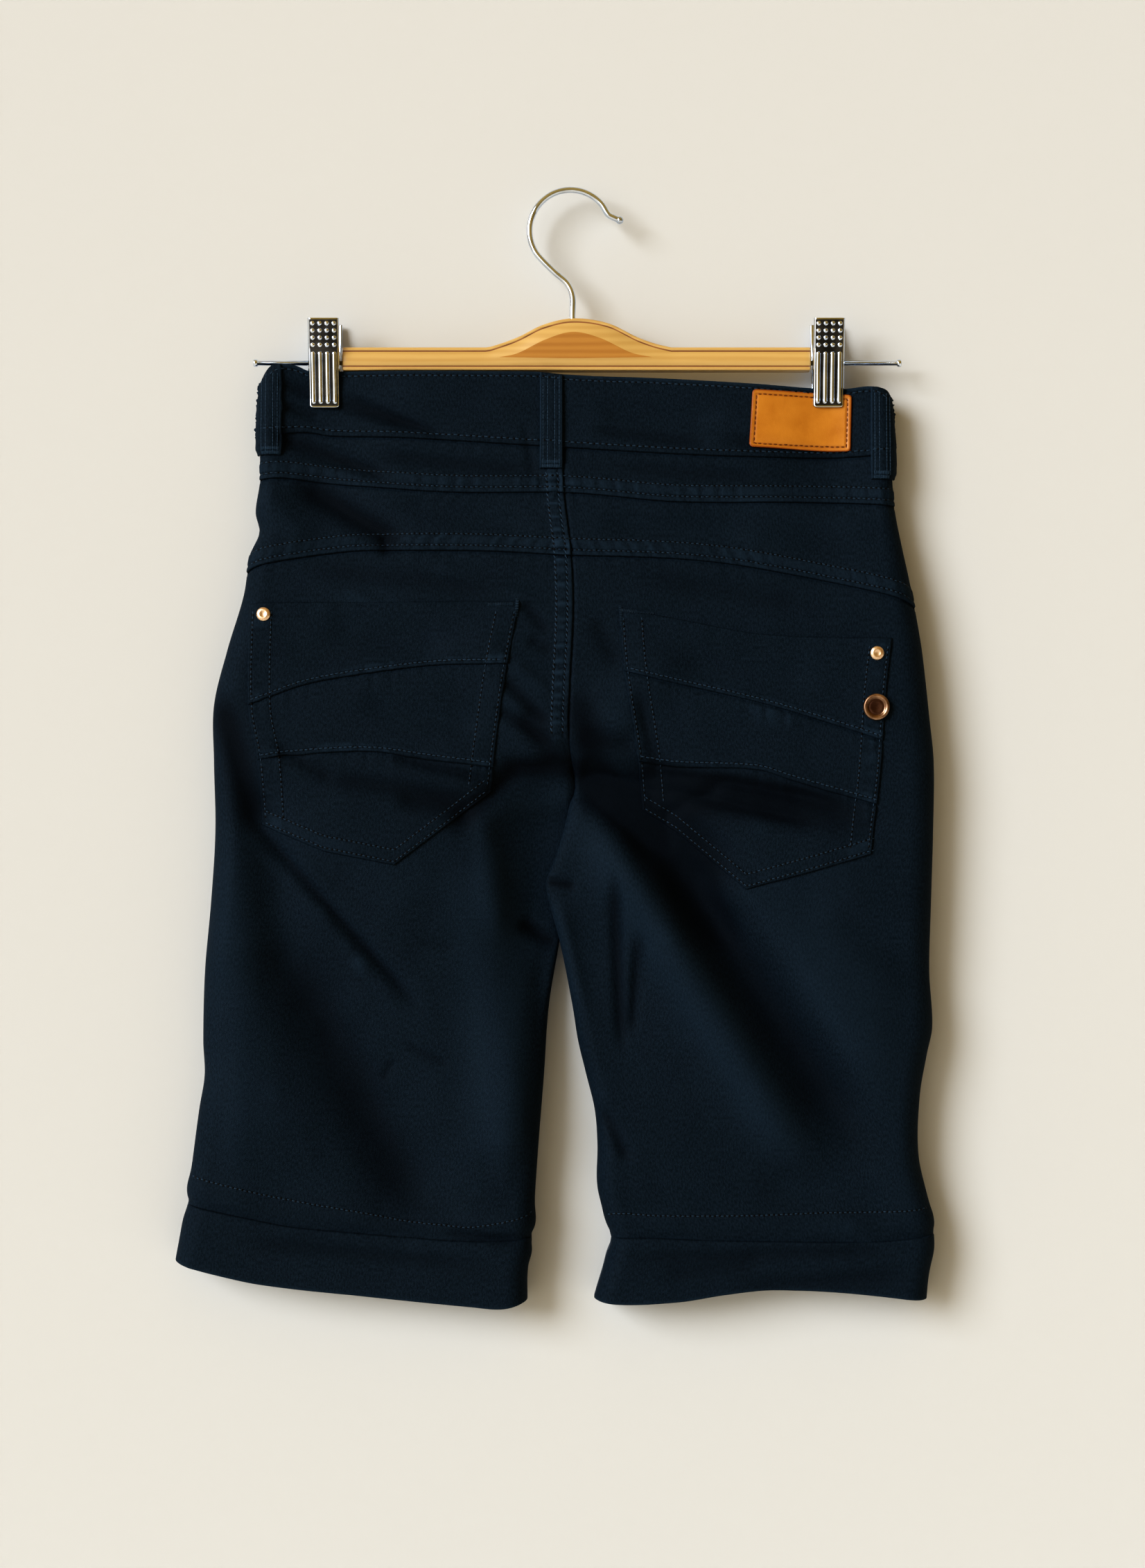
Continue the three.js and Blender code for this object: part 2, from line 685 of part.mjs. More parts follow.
function addLoop(loop) {
  const face = faces[loop.face];
  const half = halves[loop.half];
  const topLine = loop.face === 'back' ? bandTop : frontBandTop;
  const grid = evenRows(4).map((v) => {
    const rise = loopRise * Math.sqrt(Math.sin(Math.PI * v));
    return evenRows(loopColumns).map((part) => {
      const reach = loop.x + (part - 0.5) * loopWidth;
      const z = mix(topLine(reach) - loopEnd, loop.bottom, v);
      const edge = half.side(z) - half.out * clothWall / 2;
      const x = half.out > 0 ? Math.min(reach, edge) : Math.max(reach, edge);
      const { at, normal } = outwardAt(face, half, x, z);
      return { at: at.addScaledVector(normal, rise), normal };
    });
  });
  const under = bandWall / 2 + 2 * seamGap;
  const loopSolid = solidOf(wallOver(grid, under, under + loopWall));
  addPiece(`belt_loop_${loop.name}`, geometryOf(loopSolid.subtract(loop.face === 'back' ? backBandSeat : frontBandSeat)), 'cloth');
}

beltLoops.forEach(addLoop);

// Back pockets, each sewn from three pieces that are cut from the panel's own surface moved out.
const pockets = {
  left: {
    top: [{ x: -202, z: -262.5 }, { x: -190, z: -261.4 }, { x: -110, z: -260.9 }, { x: -32, z: -260.4 }],
    upperSeam: [
      { x: -203, z: -326 }, { x: -190, z: -321.2 }, { x: -169, z: -313.7 }, { x: -141, z: -308 },
      { x: -85, z: -301 }, { x: -40, z: -300.1 },
    ],
    lowerSeam: [
      { x: -197, z: -360.4 }, { x: -179, z: -357.7 }, { x: -127, z: -355.1 }, { x: -85, z: -360.4 },
      { x: -49, z: -364.8 },
    ],
    bottom: [
      { x: -194.5, z: -401.3 }, { x: -155, z: -417.6 }, { x: -111, z: -426.4 }, { x: -78, z: -401.3 },
      { x: -51, z: -380.2 },
    ],
    leftEdge: [{ z: -261, x: -202 }, { z: -326, x: -202.8 }, { z: -360, x: -197 }, { z: -401, x: -194.5 }],
    rightEdge: [{ z: -260, x: -32 }, { z: -300, x: -39.8 }, { z: -340, x: -45.8 }, { z: -380, x: -51 }],
    tip: -111,
  },
  right: {
    top: [{ x: 30, z: -264.5 }, { x: 66, z: -271.5 }, { x: 124, z: -281.6 }, { x: 202, z: -283.6 }],
    upperSeam: [
      { x: 33, z: -304.7 }, { x: 66, z: -312.4 }, { x: 124, z: -326 }, { x: 175, z: -341.4 }, { x: 196, z: -348.5 },
    ],
    lowerSeam: [
      { x: 42, z: -360.6 }, { x: 66, z: -364 }, { x: 117, z: -366.5 }, { x: 138, z: -372.7 }, { x: 193, z: -388.4 },
    ],
    bottom: [
      { x: 45, z: -392.3 }, { x: 66, z: -404.8 }, { x: 110, z: -441.8 }, { x: 153, z: -429.9 },
      { x: 188.3, z: -419.5 },
    ],
    leftEdge: [{ z: -264, x: 30 }, { z: -304, x: 33.4 }, { z: -361, x: 42.2 }, { z: -392, x: 45 }],
    rightEdge: [{ z: -284, x: 201.8 }, { z: -317, x: 198 }, { z: -367, x: 194.5 }, { z: -420, x: 188.3 }],
    tip: 110,
  },
};
const pocketWall = 1.3;
const pocketOver = clothWall / 2 + seamGap;

// An outline of [x, z] points between an upper and a lower line, from one side edge to the other.
function outlineBetween(upper, lower, leftEdge, rightEdge, extra) {
  const inset = seamGap / 2;
  const run = (line, shift, from, to) => {
    const xs = [...evenRows(4).map((part) => mix(from, to, part)), ...extra.filter((x) => x > from && x < to)];
    return xs.sort((a, b) => a - b).map((x) => [x, line(x) + shift]);
  };
  const cornerX = (edge, line) => {
    let x = edge(line(edge(-300)));
    for (let turn = 0; turn < 4; turn += 1) {
      x = edge(line(x));
    }
    return x;
  };
  const upperRun = run(upper, -inset, cornerX(leftEdge, upper), cornerX(rightEdge, upper));
  const lowerRun = run(lower, inset, cornerX(leftEdge, lower), cornerX(rightEdge, lower));
  const [upperEnd, lowerEnd] = [upperRun[upperRun.length - 1], lowerRun[lowerRun.length - 1]];
  const middleZ = (a, b) => (a[1] + b[1]) / 2;
  const rightMiddle = middleZ(upperEnd, lowerEnd);
  const leftMiddle = middleZ(upperRun[0], lowerRun[0]);
  return [
    ...upperRun,
    [rightEdge(rightMiddle), rightMiddle],
    ...lowerRun.reverse(),
    [leftEdge(leftMiddle), leftMiddle],
  ];
}

for (const [side, pocket] of Object.entries(pockets)) {
  const shell = wallOver(legGrids[`back_${side}`], pocketOver, pocketOver + pocketWall);
  const lines = [pocket.top, pocket.upperSeam, pocket.lowerSeam, pocket.bottom].map((rows) => curve(rows, 'x', 'z'));
  const leftEdge = curve(pocket.leftEdge, 'z', 'x');
  const rightEdge = curve(pocket.rightEdge, 'z', 'x');
  ['upper', 'middle', 'lower'].forEach((part, i) => {
    const outline = outlineBetween(lines[i], lines[i + 1], leftEdge, rightEdge, [pocket.tip]);
    addPiece(`pocket_${side}_${part}`, cutToOutline(shell, outline), 'cloth');
  });
}

// Leather patch on the waistband, with rounded corners.
const patch = { cornerRadius: 2.8, corners: [[114.4, -125.8], [178.2, -128.9], [177.3, -165.4], [112.2, -163.2]] };

function roundedOutline(corners, radius, steps = 3) {
  return corners.flatMap((corner, i) => {
    const before = new THREE.Vector2(...corners[(i + corners.length - 1) % corners.length]);
    const after = new THREE.Vector2(...corners[(i + 1) % corners.length]);
    const here = new THREE.Vector2(...corner);
    const start = here.clone().addScaledVector(before.sub(here).normalize(), radius);
    const end = here.clone().addScaledVector(after.sub(here).normalize(), radius);
    return new THREE.QuadraticBezierCurve(start, here, end).getPoints(steps).map((p) => [p.x, p.y]);
  });
}

const bandOver = bandWall / 2 + seamGap;
const bandShell = wallOver(backBandGrid, bandOver, bandOver + leatherWall);
addPiece('leather_patch', cutToOutline(bandShell, roundedOutline(patch.corners, patch.cornerRadius)), 'leather');

// Fly: the front's left edge lies over the middle seam as a flap below the waistband.
const fly = { x: 3, width: 40, top: -171, bottom: -318, round: 26 };
const flyOutline = [
  [fly.x - fly.width, fly.top],
  [fly.x, fly.top],
  [fly.x, fly.bottom],
  [fly.x - fly.round * 0.5, fly.bottom + fly.round * 0.2],
  [fly.x - fly.width + fly.round * 0.3, fly.bottom + fly.round * 0.9],
  [fly.x - fly.width, fly.bottom + fly.round * 2],
];
const frontMiddleGrid = fromSideToSide((half) => gridOver(
  { face: faces.front, half, gap: 0, top: shifted(bandSeam, -seamGap / 2), bottom: half.cuffTop },
  across,
  [...frontRiseRows, ...frontLegRows],
));
const flyShell = wallOver(frontMiddleGrid, pocketOver, pocketOver + clothWall);
addPiece('fly_placket', cutToOutline(flyShell, flyOutline), 'cloth');

// Rivets and buttons: turned pieces set on the surface, facing along its normal.
function addStud(name, profile, face, half, x, z, over) {
  const { at, normal } = outwardAt(face, half, x, z);
  const sides = 14;
  const geometry = new THREE.LatheGeometry(profile.map(([r, h]) => new THREE.Vector2(r, h)), sides);
  const turn = new THREE.Quaternion().setFromUnitVectors(new THREE.Vector3(0, 1, 0), normal);
  const mesh = addPiece(name, geometryOf(solidOf(geometry)), 'copper');
  mesh.quaternion.copy(turn);
  mesh.position.copy(at.addScaledVector(normal, over));
}

const rivetProfile = [[0, 0], [4.2, 0], [4.5, 0.4], [3.6, 1.2], [1.8, 1.3], [1.4, 0.9], [0, 0.9]];
const buttonProfile = [[0, 0], [7.6, 0], [8.5, 1], [8.4, 2.2], [7.2, 3], [5.6, 2.6], [5.2, 2], [0, 2]];
const studOver = pocketOver + pocketWall + 0.5;
addStud('rivet_left', rivetProfile, faces.back, halves.left, -193.2, -268.8, studOver);
addStud('rivet_right', rivetProfile, faces.back, halves.right, 192.1, -293.3, studOver);
addStud('pocket_button', buttonProfile, faces.back, halves.right, 191.4, -327.1, studOver);
addStud('waist_button', buttonProfile, faces.front, halves.left, -8, -140, bandWall / 2 + 0.5);

// Hanger bar: a slim bar with a raised middle, drilled for the hook and for the two side rods.
const bar = { left: -144.9, right: 151.8, top: -98.9, bottom: -113.5, thick: 11, edge: 0.8, corner: 1.2 };
const humpRows = [
  { x: -54, z: -98.9 },
  { x: -50, z: -98.2 },
  { x: -33.9, z: -92.5 },
  { x: -17.6, z: -84.5 },
  { x: 0.9, z: -80.5 },
  { x: 22.9, z: -83.4 },
  { x: 42.2, z: -92.5 },
  { x: 53, z: -96.4 },
  { x: 63.4, z: -98.9 },
];
const hump = curve(humpRows, 'x', 'z');
const barShape = new THREE.Shape();
barShape.moveTo(bar.left + bar.edge, bar.bottom + bar.edge);
barShape.lineTo(bar.right - bar.edge, bar.bottom + bar.edge);
barShape.lineTo(bar.right - bar.edge, bar.top - bar.edge);
for (const part of evenRows(16)) {
  const x = mix(63.4, -54, part);
  barShape.lineTo(x, hump(x) - bar.edge);
}
barShape.lineTo(bar.left + bar.edge, bar.top - bar.edge);
const barBlank = new THREE.ExtrudeGeometry(barShape, {
  depth: bar.thick - 2 * bar.edge,
  bevelEnabled: true,
  bevelThickness: bar.edge,
  bevelSize: bar.edge,
  bevelSegments: 1,
});
barBlank.rotateX(Math.PI / 2);
barBlank.translate(0, bar.thick / 2 - bar.edge, 0);

function rodBetween(xFrom, xTo, radius, sides = 12) {
  const rod = new THREE.CylinderGeometry(radius, radius, xTo - xFrom, sides);
  rod.rotateZ(Math.PI / 2);
  rod.translate((xFrom + xTo) / 2, 0, rodZ);
  return rod;
}

const shaft = { x: 0.9, foot: -93, hole: -94 };
const rodDepth = 12;
const drillOver = 5;
const shaftHole = new THREE.CylinderGeometry(wireRadius + seamGap, wireRadius + seamGap, 20, 12);
shaftHole.rotateX(Math.PI / 2);
shaftHole.translate(shaft.x, 0, shaft.hole + 10);

const inlay = { thick: 0.9, depth: 1.2 };
const inlayTop = curve([
  { x: -46, z: -105 }, { x: -34, z: -102.4 }, { x: -16, z: -93.6 }, { x: 0.9, z: -88.9 },
  { x: 18, z: -92.6 }, { x: 38, z: -102 }, { x: 51, z: -104.8 },
], 'x', 'z');
const inlayBottom = curve([{ x: -46, z: -105.6 }, { x: 1, z: -106.2 }, { x: 51, z: -105.6 }], 'x', 'z');

function inlayOutline(grow) {
  const upper = evenRows(12).map((part) => mix(-46 - grow, 51 + grow, part));
  const lower = evenRows(2).map((part) => mix(51 + grow, -46 - grow, part));
  return [...upper.map((x) => [x, inlayTop(x) + grow]), ...lower.map((x) => [x, inlayBottom(x) - grow])];
}

function plateThrough(outline, yNear, yFar) {
  const shape = new THREE.Shape(outline.map(([x, z]) => new THREE.Vector2(x, z)));
  const plate = new THREE.ExtrudeGeometry(shape, { depth: yFar - yNear, bevelEnabled: false });
  plate.rotateX(Math.PI / 2);
  plate.translate(0, yFar, 0);
  return plate;
}

const barFace = -bar.thick / 2;
const barSolid = [
  rodBetween(bar.left - drillOver, bar.left + rodDepth, rodRadius + seamGap),
  rodBetween(bar.right - rodDepth, bar.right + drillOver, rodRadius + seamGap),
  shaftHole,
  plateThrough(inlayOutline(seamGap), barFace - drillOver, barFace + inlay.depth),
].reduce((solid, tool) => solid.subtract(solidOf(tool)), solidOf(barBlank));
addPiece('hanger_bar', geometryOf(barSolid), 'wood');
addPiece('bar_inlay', plateThrough(inlayOutline(0), barFace, barFace + inlay.thick), 'darkWood');

// Side rods with a knob at the end, each seated in the end of the bar.
const rods = [
  { name: 'left', from: -199, to: bar.left + rodDepth - seamGap, knob: -200.2 },
  { name: 'right', from: bar.right - rodDepth + seamGap, to: 207, knob: 208.2 },
];
const knob = { radius: 2.4, length: 2.6 };
for (const rod of rods) {
  const stem = solidOf(rodBetween(rod.from, rod.to, rodRadius));
  const end = solidOf(rodBetween(rod.knob - knob.length / 2, rod.knob + knob.length / 2, knob.radius, 14));
  addPiece(`side_rod_${rod.name}`, geometryOf(stem.add(end)), 'chrome');
}

// Hook: a wire that leaves the bar straight up, swings to the left and comes over to a ball tip.
const hook = { x: -0.4, z: -24.1, radius: 26, start: 228, end: 24, ball: 2.5, tip: [30.8, -17.4] };
const wirePath = [
  [shaft.x, shaft.foot],
  [shaft.x, -78],
  [shaft.x, -66],
  [-2.6, -57.6],
  [-10.6, -50.4],
];
for (const part of evenRows(12)) {
  const angle = THREE.MathUtils.degToRad(mix(hook.start, hook.end, part));
  wirePath.push([hook.x + hook.radius * Math.cos(angle), hook.z + hook.radius * Math.sin(angle)]);
}
wirePath.push([26.6, -15.6], hook.tip);
const wireCurve = new THREE.CatmullRomCurve3(wirePath.map(([x, z]) => new THREE.Vector3(x, 0, z)));
const wireSides = 9;
const wireSteps = 40;
const wireSection = new THREE.Shape(evenRows(wireSides).slice(1).map((part) => new THREE.Vector2(
  wireRadius * Math.cos(2 * Math.PI * part),
  wireRadius * Math.sin(2 * Math.PI * part),
)));
const wire = new THREE.ExtrudeGeometry(wireSection, { steps: wireSteps, extrudePath: wireCurve, bevelEnabled: false });
const ball = new THREE.SphereGeometry(hook.ball, 10, 6);
ball.translate(hook.tip[0], 0, hook.tip[1]);
addPiece('hook', geometryOf(solidOf(wire).add(solidOf(ball))), 'chrome');

// Clips: two jaws that lean together on each side rod, with ears round the rod and a spring.
const jawWall = 1.1;
const jaw = { topY: 13, elbowZ: -113, elbowY: 7.5, tipGap: 0.4 };
const ear = { thick: 0.9, back: 3.6, top: -101.5, bottom: -115 };

function sidePlate(outline, xFrom, xTo) {
  const shape = new THREE.Shape(outline.map(([y, z]) => new THREE.Vector2(y, z)));
  const plate = new THREE.ExtrudeGeometry(shape, { depth: xTo - xFrom, bevelEnabled: false });
  plate.rotateX(Math.PI / 2);
  plate.rotateZ(Math.PI / 2);
  plate.translate(xFrom, 0, 0);
  return plate;
}

function addJaw(clip, face, tipY, earInset) {
  const sign = face.sign;
  const line = [[jaw.topY, clipTopZ], [jaw.elbowY, jaw.elbowZ], [tipY, clipTipZ + 6], [tipY, clipTipZ]];
  const outerLine = line.map(([y, z]) => [sign * (y + jawWall), z]);
  const outline = [...outerLine, ...line.map(([y, z]) => [sign * y, z]).reverse()];
  const half = clipWidth / 2;
  const earOutline = [
    [sign * (jaw.topY * 0.66), ear.top],
    [sign * -ear.back, ear.top - 3.5],
    [sign * -ear.back, ear.bottom + 3.5],
    [sign * (jaw.elbowY + 0.4), ear.bottom + 2],
  ];
  const plate = solidOf(sidePlate(outline, clip.x - half, clip.x + half));
  const leftEar = solidOf(sidePlate(earOutline, clip.x - half + earInset, clip.x - half + earInset + ear.thick));
  const rightEar = solidOf(sidePlate(earOutline, clip.x + half - earInset - ear.thick, clip.x + half - earInset));
  const bore = solidOf(rodBetween(clip.x - half - 2, clip.x + half + 2, rodRadius + seamGap));
  const solid = plate.add(leftEar).add(rightEar).subtract(bore);
  addPiece(`clip_${clip.name}_${face.name}_jaw`, geometryOf(solid), 'chrome');
}

for (const clip of clips) {
  const grip = pinch.depth + bandWall / 2 + 0.9;
  addJaw(clip, faces.back, grip + clip.patchUnder, 0);
  addJaw(clip, faces.front, grip, ear.thick + seamGap);
  const springRing = [[2.1, -6.5], [3.3, -6.5], [3.3, 6.5], [2.1, 6.5], [2.1, -6.5]];
  const spring = new THREE.LatheGeometry(springRing.map(([r, h]) => new THREE.Vector2(r, h)), 14);
  spring.rotateZ(Math.PI / 2);
  spring.translate(clip.x, 0, rodZ);
  addPiece(`clip_${clip.name}_spring`, geometryOf(solidOf(spring)), 'chrome');
}

export default shortsOnHanger;
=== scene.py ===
# Navy bermuda shorts seen from behind, hung by two clips on a wooden hanger.
# Shapes are worked out in millimetres, in the frame's own axes, and turned into metres at the mesh.
import bpy
import bmesh
import math
import numpy as np
from mathutils import Matrix, Vector
from mathutils.bvhtree import BVHTree


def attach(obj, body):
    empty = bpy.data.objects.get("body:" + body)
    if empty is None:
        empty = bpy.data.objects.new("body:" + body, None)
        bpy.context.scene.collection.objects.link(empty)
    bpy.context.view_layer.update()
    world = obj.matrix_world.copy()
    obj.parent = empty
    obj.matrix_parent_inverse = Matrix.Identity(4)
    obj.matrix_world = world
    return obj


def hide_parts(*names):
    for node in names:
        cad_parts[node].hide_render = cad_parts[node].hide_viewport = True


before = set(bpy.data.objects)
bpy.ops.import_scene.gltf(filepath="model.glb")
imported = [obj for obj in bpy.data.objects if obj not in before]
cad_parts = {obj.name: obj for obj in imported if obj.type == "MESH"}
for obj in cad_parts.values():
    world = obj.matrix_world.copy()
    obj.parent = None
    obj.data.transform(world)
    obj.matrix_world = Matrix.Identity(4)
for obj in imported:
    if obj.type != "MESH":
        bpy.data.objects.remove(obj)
scene = bpy.context.scene


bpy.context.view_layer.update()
mm = 0.001

# Camera, wall, floor and light

studio = {
    "lens": 60.0, "distance": 1.66, "eye": (0.0009, -0.3755), "wallY": 0.0172, "floorZ": -0.93,
    "reach": 3.0, "look": "High Contrast", "sunColour": (0.88, 0.93, 1.0),
    "wallColour": (0.5, 0.505, 0.498), "floorColour": (0.74, 0.72, 0.66),
    "airBright": (0.47, 0.32, 0.11), "airDim": (0.14, 0.085, 0.022), "airTurn": (-0.5, -0.1, 0.86),
    "window": (2.0, 1.95, 1.85), "windowTurn": (-0.62, -0.78, 0.05), "windowEdge": (0.9, 0.95),
}
suns = {
    "key": {"from": (-1.06, -1.0, 0.52), "strength": 2.85, "angle": 30.0},
    "behind": {"from": (-0.14, 1.0, 0.24), "strength": 3.2, "angle": 8.0},
}


def addCamera():
    data = bpy.data.cameras.new("photoView")
    data.lens = studio["lens"]
    data.sensor_width = 36.0
    data.clip_start = 0.05
    camera = bpy.data.objects.new("photoView", data)
    camera.location = (studio["eye"][0], -studio["distance"], studio["eye"][1])
    camera.rotation_euler = (math.radians(90), 0, 0)
    scene.collection.objects.link(camera)
    scene.camera = camera


def addPlane(name, corners, material):
    mesh = bpy.data.meshes.new(name)
    bm = bmesh.new()
    bm.faces.new([bm.verts.new(corner) for corner in corners])
    bm.to_mesh(mesh)
    bm.free()
    mesh.materials.append(material)
    plane = bpy.data.objects.new(name, mesh)
    plane.visible_shadow = False  # light from behind the wall still reaches the garment's front
    scene.collection.objects.link(plane)


def plasterMaterial(name, colour):
    material = bpy.data.materials.new(name)
    material.use_nodes = True
    tree = material.node_tree
    surface = tree.nodes["Principled BSDF"]
    surface.inputs["Base Color"].default_value = (*colour, 1)
    surface.inputs["Roughness"].default_value = 0.9
    clear = tree.nodes.new("ShaderNodeBsdfTransparent")
    facing = tree.nodes.new("ShaderNodeNewGeometry")
    choose = tree.nodes.new("ShaderNodeMixShader")
    tree.links.new(facing.outputs["Backfacing"], choose.inputs["Fac"])
    tree.links.new(surface.outputs["BSDF"], choose.inputs[1])
    tree.links.new(clear.outputs["BSDF"], choose.inputs[2])
    tree.links.new(choose.outputs["Shader"], tree.nodes["Material Output"].inputs["Surface"])
    return material


def addSun(name, sun):
    data = bpy.data.lights.new(name + "Light", "SUN")
    data.energy = sun["strength"]
    data.color = studio["sunColour"]
    data.angle = math.radians(sun["angle"])
    light = bpy.data.objects.new(name + "Light", data)
    light.rotation_euler = (-Vector(sun["from"])).to_track_quat("-Z", "Y").to_euler()
    scene.collection.objects.link(light)


def mixColours(tree, factor, first, second):
    node = tree.nodes.new("ShaderNodeMix")
    node.data_type = "RGBA"
    tree.links.new(factor, node.inputs["Factor"])
    for socket, value in ((node.inputs[6], first), (node.inputs[7], second)):
        if isinstance(value, tuple):
            socket.default_value = (*value, 1)
        else:
            tree.links.new(value, socket)
    return node.outputs[2]


# Warm air all round, brighter above, with a pale window to the left behind the camera
def addAir():
    world = bpy.data.worlds.new("studioAir")
    scene.world = world
    world.use_nodes = True
    tree = world.node_tree
    place = tree.nodes.new("ShaderNodeTexCoord")

    def turnedShare(turn, low, high):
        towards = tree.nodes.new("ShaderNodeVectorMath")
        towards.operation = "DOT_PRODUCT"
        towards.inputs[1].default_value = turn
        tree.links.new(place.outputs["Generated"], towards.inputs[0])
        share = tree.nodes.new("ShaderNodeMapRange")
        share.inputs["From Min"].default_value = low
        share.inputs["From Max"].default_value = high
        tree.links.new(towards.outputs["Value"], share.inputs["Value"])
        return share.outputs["Result"]

    air = mixColours(tree, turnedShare(studio["airTurn"], -1, 1), studio["airDim"], studio["airBright"])
    windowShare = turnedShare(studio["windowTurn"], *studio["windowEdge"])
    lit = mixColours(tree, windowShare, air, studio["window"])
    tree.links.new(lit, tree.nodes["Background"].inputs["Color"])


def buildStudio():
    wallY, floorZ, reach = studio["wallY"], studio["floorZ"], studio["reach"]
    wallCorners = [(-reach, wallY, floorZ), (reach, wallY, floorZ),
                   (reach, wallY, reach), (-reach, wallY, reach)]
    floorCorners = [(-reach, -reach, floorZ), (reach, -reach, floorZ),
                    (reach, reach, floorZ), (-reach, reach, floorZ)]
    addPlane("wall", wallCorners, plasterMaterial("wallPaint", studio["wallColour"]))
    addPlane("floor", floorCorners, plasterMaterial("floorPaint", studio["floorColour"]))
    for name, sun in suns.items():
        addSun(name, sun)
    addAir()
    scene.view_settings.view_transform = "Standard"
    scene.view_settings.look = studio["look"]


addCamera()
buildStudio()
print("studio ready")

# The garment's measured lines: heights and places in millimetres, as in the solids

leftSide = {
    "z": [-109, -115, -124, -142, -166, -183, -203, -216, -230, -256, -291, -326, -361, -405, -450, -494,
          -538, -560, -582, -621, -641, -680],
    "x": [-187, -191.5, -195, -196.5, -197.5, -197.3, -200.2, -197.8, -203.5, -207.7, -218.2, -226.6,
          -226.6, -225.7, -228.4, -232.3, -233.4, -232.5, -236, -241.1, -243.4, -250.5],
}
rightSide = {
    "z": [-122, -131, -146, -164, -184, -200, -225, -245, -264, -291, -335, -362, -406, -450, -494, -529,
          -547, -573, -610, -641, -661, -687, -702],
    "x": [196, 200.6, 202, 203.3, 204, 205, 209.9, 214.3, 218, 222.6, 227.5, 230.1, 229.7, 228.4, 227.3,
          229.2, 225.7, 221.3, 220.4, 227, 230.3, 226, 224.5],
}
seatSeam = {"z": [-150, -191, -229, -266, -315, -345, -368], "x": [-5.5, -4.4, 0, 1.3, -0.9, -1.6, 1.5]}
leftInseam = {
    "z": [-368, -380, -400, -440, -476, -516, -560, -604, -643, -670, -683, -702],
    "x": [1.3, 5.0, 3.4, -2.5, -7.5, -14.1, -17.2, -20.7, -23.4, -25.4, -28.4, -28.4],
}
rightInseam = {
    "z": [-368, -380, -388, -401, -423, -437, -446, -476, -516, -538, -560, -582, -604, -632, -661, -676,
          -700],
    "x": [1.7, 2.4, -0.8, -3.7, -10.4, -15.8, -15, -7, 0.9, 4.4, 9.7, 15, 16.7, 16.8, 25, 22.5, 15.6],
}
bandTopLine = {
    "x": [-194, -191, -187.5, -181, -174, -166, -145, -90, -46, -21, -6, 17, 55, 103, 153, 173, 192, 202],
    "z": [-119, -114, -110.6, -109.4, -110.4, -113.6, -113.9, -113.9, -114.2, -114.6, -116.2, -117.5,
          -118.8, -121.4, -124.5, -125, -123.8, -129.4],
}
frontBandTopLine = {
    "x": [-194, -186, -166, -46, 55, 153, 192, 202],
    "z": [-119, -113.5, -113.9, -116.5, -121, -125, -125, -129.4],
}
bandSeamLine = {
    "x": [-199, -168, -153, -106, -46, 53, 105, 166, 205],
    "z": [-154.6, -152.7, -154.9, -156.6, -160.2, -166.3, -168.5, -169, -167],
}
basqueSeamLine = {
    "x": [-198, -181, -138, -74, -1, 59, 92, 166, 205],
    "z": [-183, -182.2, -187, -191.4, -191.8, -197.1, -198, -198, -199.8],
}
yokeSeamLine = {
    "x": [-208, -204, -190, -142, -109, -52, 0, 48, 82, 115, 183, 208, 218],
    "z": [-245.5, -241.1, -236.3, -229.2, -228.4, -228.8, -231.5, -232.8, -235, -239.4, -252.6, -259.2,
          -264.4],
}
leftHemLine = {
    "x": [-252, -228, -195, -129, -63, -43, -27],
    "z": [-676.5, -683.3, -690.4, -697.8, -704.4, -705.8, -701.6],
}
rightHemLine = {
    "x": [14, 31, 47, 71, 96, 145, 177, 226],
    "z": [-701.4, -704.9, -706.2, -704.9, -700.9, -695.2, -696.1, -701.4],
}
leftCuffLine = {
    "x": [-245, -212, -179, -146, -88, -55, -23],
    "z": [-640.2, -647.2, -653.8, -657.4, -662.2, -664, -661.8],
}
rightCuffLine = {"x": [24, 47, 96, 194, 232], "z": [-661.8, -661.3, -663.1, -663.5, -659.6]}
depths = {
    "z": [-112, -160, -200, -260, -340, -450, -560, -650, -706],
    "back": [6.5, 8.5, 12, 16, 18, 17, 15, 14, 14],
    "front": [6, 7.5, 9, 10, 11, 11, 11, 12, 13],
    "sideRound": [6, 8, 11, 15, 17, 16, 14, 13, 13],
    "innerRound": [8, 8, 8, 8, 8, 8, 11, 12, 12],
}
legCrossing = {
    "z": [-318, -344, -366, -374, -392, -437, -476, -540, -600],
    "right": [0, 0, 0, -1.2, -5.5, -8, -6, -2, 0],
    "left": [0, 0, 0, 1, 5, 6.5, 6, 2, 0],
    "thin": [0, 0.13, 0.45, 0.9, 1, 1, 1, 0.4, 0],
}
cloth = {
    "wall": 1.2, "bandWall": 2.4, "crotchZ": -368.0, "crotchRise": 28.0,
    "crossFlat": 16.0, "crossReach": 62.0, "crossFade": 30.0, "crossDepth": 3.2,
    "rollShare": 0.2, "leastShare": 0.45, "leastDepth": 4.0,
    "clipX": (-156.2, 162.8), "clipTip": -137.0, "pinchDepth": 1.9, "pinchX": 30.0, "pinchZ": 75.0,
    "hemLiftX": 82.0, "hemLiftReach": 55.0, "hemLift": 4.0, "slackLeg": 0.9, "slackSeat": 0.6,
}

